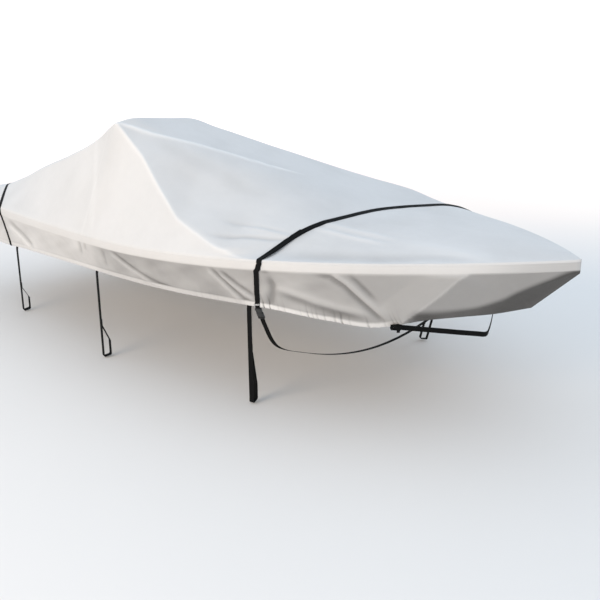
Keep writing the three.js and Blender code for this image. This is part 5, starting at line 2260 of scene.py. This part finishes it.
@dataclass
class Harness:
    """All the webbing of the cover with its fittings."""

    dressing: Dressing
    top: TopPanels
    skirts: Skirts
    webbing: Webbing = Webbing()
    lift: float = 0.0016
    past_hem: float = 0.006
    into_socket: float = 0.005
    into_plug: float = 0.003
    strap_drop: float = 0.22
    depth_shares: tuple[float, ...] = (0.0, 0.02, 0.2, 0.4, 0.6, 0.8, 1.0)
    chines: dict[Side, Spot] = field(default_factory=lambda: {
        Side.STARBOARD: (-1.363, -0.700, -0.566), Side.PORT: (-1.225, 0.700, -0.566)})

    def hem_pose(self, side: Side) -> Pose:
        """Gives the fore over-strap's place at the hem's edge.

        Args:
            side: which side.

        Returns:
            The place, with the strap's ways.
        """
        form = self.skirts.forms[side]
        s = BOW_ROUTE.station
        for _ in range(OverStrap.passes):
            y = form.hem_place(s).point[1]
            s = float(BOW_ROUTE.station_at(np.array(y), np.array(1.0)))
        place = form.hem_place(s)
        across = squared(place.across, place.down)
        outward = np.cross(across, place.down * side.value)
        return Pose(place.point + outward * self.lift, across, place.down, outward)

    def end_pose(self, side: Side) -> Pose:
        """Gives the fore over-strap's end, drawn on past the hem towards the hull's chine."""
        hem = self.hem_pose(side)
        pull = unit(np.array(self.chines[side]) - hem.point)
        across = squared(hem.across, pull)
        return Pose(hem.point + pull * self.past_hem, across, pull, np.cross(across, pull * side.value))

    def depths(self) -> Array:
        """Gives how far down the skirt its rows lie, as the strap's rule counts it."""
        form = self.skirts.forms[Side.STARBOARD]
        parts = len(self.depth_shares)
        band = np.linspace(0, 1, form.band_rows) / parts
        hem = float(form.hem_height(np.array(form.gathers.strap_station))) / self.strap_drop
        cloth_share, hem_share = form.shares()
        share = np.concatenate((cloth_share * (1 - hem), 1 - hem + hem * hem_share))
        below = np.interp(share, self.depth_shares, np.arange(1, parts + 1) / parts)
        return np.concatenate((band, below))

    def over_strap(self, route: StrapRoute) -> OverStrap:
        """Lays out a strap over one top panel and the skirts beside it.

        Args:
            route: the strap's route.

        Returns:
            The strap.
        """
        top = self.top.grids["top_" + route.part]
        stations = self.skirts.stations[route.part]
        sides = {side: Surface(stations, self.skirts.grids[route.part, side][:len(stations)], side.value)
                 for side in Side}
        strap = OverStrap(route, self.webbing, sides, Surface(-top[:, 0, 0], top, 1.0), self.depths())
        strap.lay_out()
        return strap

    def build(self) -> None:
        """Makes all the straps and the fittings."""
        bow = self.over_strap(BOW_ROUTE)
        stern = self.over_strap(STERN_ROUTE)
        ends = {side: self.end_pose(side) for side in Side}
        hems = {side: self.hem_pose(side) for side in Side}
        pulls = {side: end.down for side, end in ends.items()}
        bow.drawn_out(pulls, self.past_hem + self.into_socket)
        bow.build(self.dressing, bow.tail())
        stern.build(self.dressing)
        hung = HungStraps(self.dressing, self.webbing, self.skirts.forms)
        fittings = Fittings(self.dressing)
        reach = 3 * SEAM_GAP + fittings.socket_length + fittings.plug_length
        hung.belly(ends, reach, self.into_plug)
        hung.stem()
        for row in TIE_ROWS:
            for side in Side:
                hung.tie_down(row, side)
        fittings.build(ends, hems)


@dataclass
class Studio:
    """The camera at the photograph's angle, the floor, the side light and the sky."""

    eye: Spot = (4.492, -2.971, 0.548)
    yaw: float = 46.97
    pitch: float = 17.74
    roll: float = 0.30
    lens: float = 51.6
    sensor: float = 36.0
    sight: float = 200.0
    floor_height: float = -1.458
    floor_radius: float = 150.0
    floor_corners: int = 96
    lamp_place: Spot = (1.5, -8.8, 2.0)
    lamp_aim: Spot = (0.0, 0.0, -0.4)
    lamp_size: float = 4.0
    lamp_power: float = 500.0
    lamp_tint: Spot = (1.0, 0.82, 0.64)
    sky_low: tuple[float, Colour] = (0.04, (1.15, 1.12, 1.07, 1.0))
    sky_high: tuple[float, Colour] = (0.55, (0.80, 0.94, 1.10, 1.0))
    sky_strength: float = 1.09

    def camera(self) -> None:
        """Sets the camera."""
        a, e, r = (math.radians(v) for v in (self.yaw, self.pitch, self.roll))
        ahead = Vector((-math.sin(a) * math.cos(e), math.cos(a) * math.cos(e), -math.sin(e)))
        level = Vector((math.cos(a), math.sin(a), 0.0))
        above = level.cross(ahead)
        right = math.cos(r) * level + math.sin(r) * above
        up = math.cos(r) * above - math.sin(r) * level
        data = bpy.data.cameras.new("photo_view")
        data.sensor_width = self.sensor
        data.lens = self.lens
        data.clip_end = self.sight
        camera = linked("photo_view", data)
        turn = Matrix((right, up, -ahead)).transposed().to_4x4()
        camera.matrix_world = Matrix.Translation(self.eye) @ turn
        bpy.context.scene.camera = camera

    def floor(self) -> None:
        """Lays the floor."""
        turn = np.linspace(0, TURN, self.floor_corners + 1)[:-1]
        z = np.full_like(turn, self.floor_height)
        rim = np.stack((self.floor_radius * np.cos(turn), self.floor_radius * np.sin(turn), z), axis=1)
        mesh = bpy.data.meshes.new("floor")
        mesh.from_pydata(rim.tolist(), [], [list(range(len(rim)))])
        mesh.materials.append(FloorFinish().material())
        linked("floor", mesh)

    def side_light(self) -> None:
        """Adds a soft, warm, square light on the starboard side."""
        data = bpy.data.lights.new("warm_side", "AREA")
        data.shape = "SQUARE"
        data.size = self.lamp_size
        data.energy = self.lamp_power
        data.color = self.lamp_tint
        lamp = linked("warm_side", data)
        lamp.location = self.lamp_place
        way = Vector(self.lamp_aim) - Vector(self.lamp_place)
        lamp.rotation_euler = way.to_track_quat("-Z", "Y").to_euler()

    def sky(self) -> None:
        """Sets a pale sky that is white at the horizon and bluish overhead."""
        board = Board(bpy.data.worlds.new("pale_sky"))
        place = board.signal("ShaderNodeTexCoord", {}, {}, "Generated")
        height = board.signal("ShaderNodeSeparateXYZ", {}, {0: place}, "Z")
        settings = {"stops": (self.sky_low, self.sky_high)}
        tint = board.signal("ShaderNodeValToRGB", settings, {"Fac": height})
        back = board.signal("ShaderNodeBackground", {}, {"Color": tint, "Strength": self.sky_strength})
        board.node("ShaderNodeOutputWorld", {}, {"Surface": back})
        bpy.context.scene.world = board.owner
        bpy.context.scene.view_settings.view_transform = "Standard"

    def build(self) -> None:
        """Sets up the studio."""
        self.camera()
        self.floor()
        self.side_light()
        self.sky()


def main() -> None:
    """Builds the cover and its studio in order."""
    logging.basicConfig(level=logging.INFO, format="%(name)s %(message)s")
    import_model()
    Studio().build()
    dressing = Dressing()
    hull = Hull()
    top = TopPanels(TopForm(hull), dressing)
    top.lay_out()
    top.build()
    skirts = Skirts(hull, dressing)
    skirts.lay_out()
    skirts.build()
    Harness(dressing, top, skirts).build()


if __name__ == "__main__":
    main()
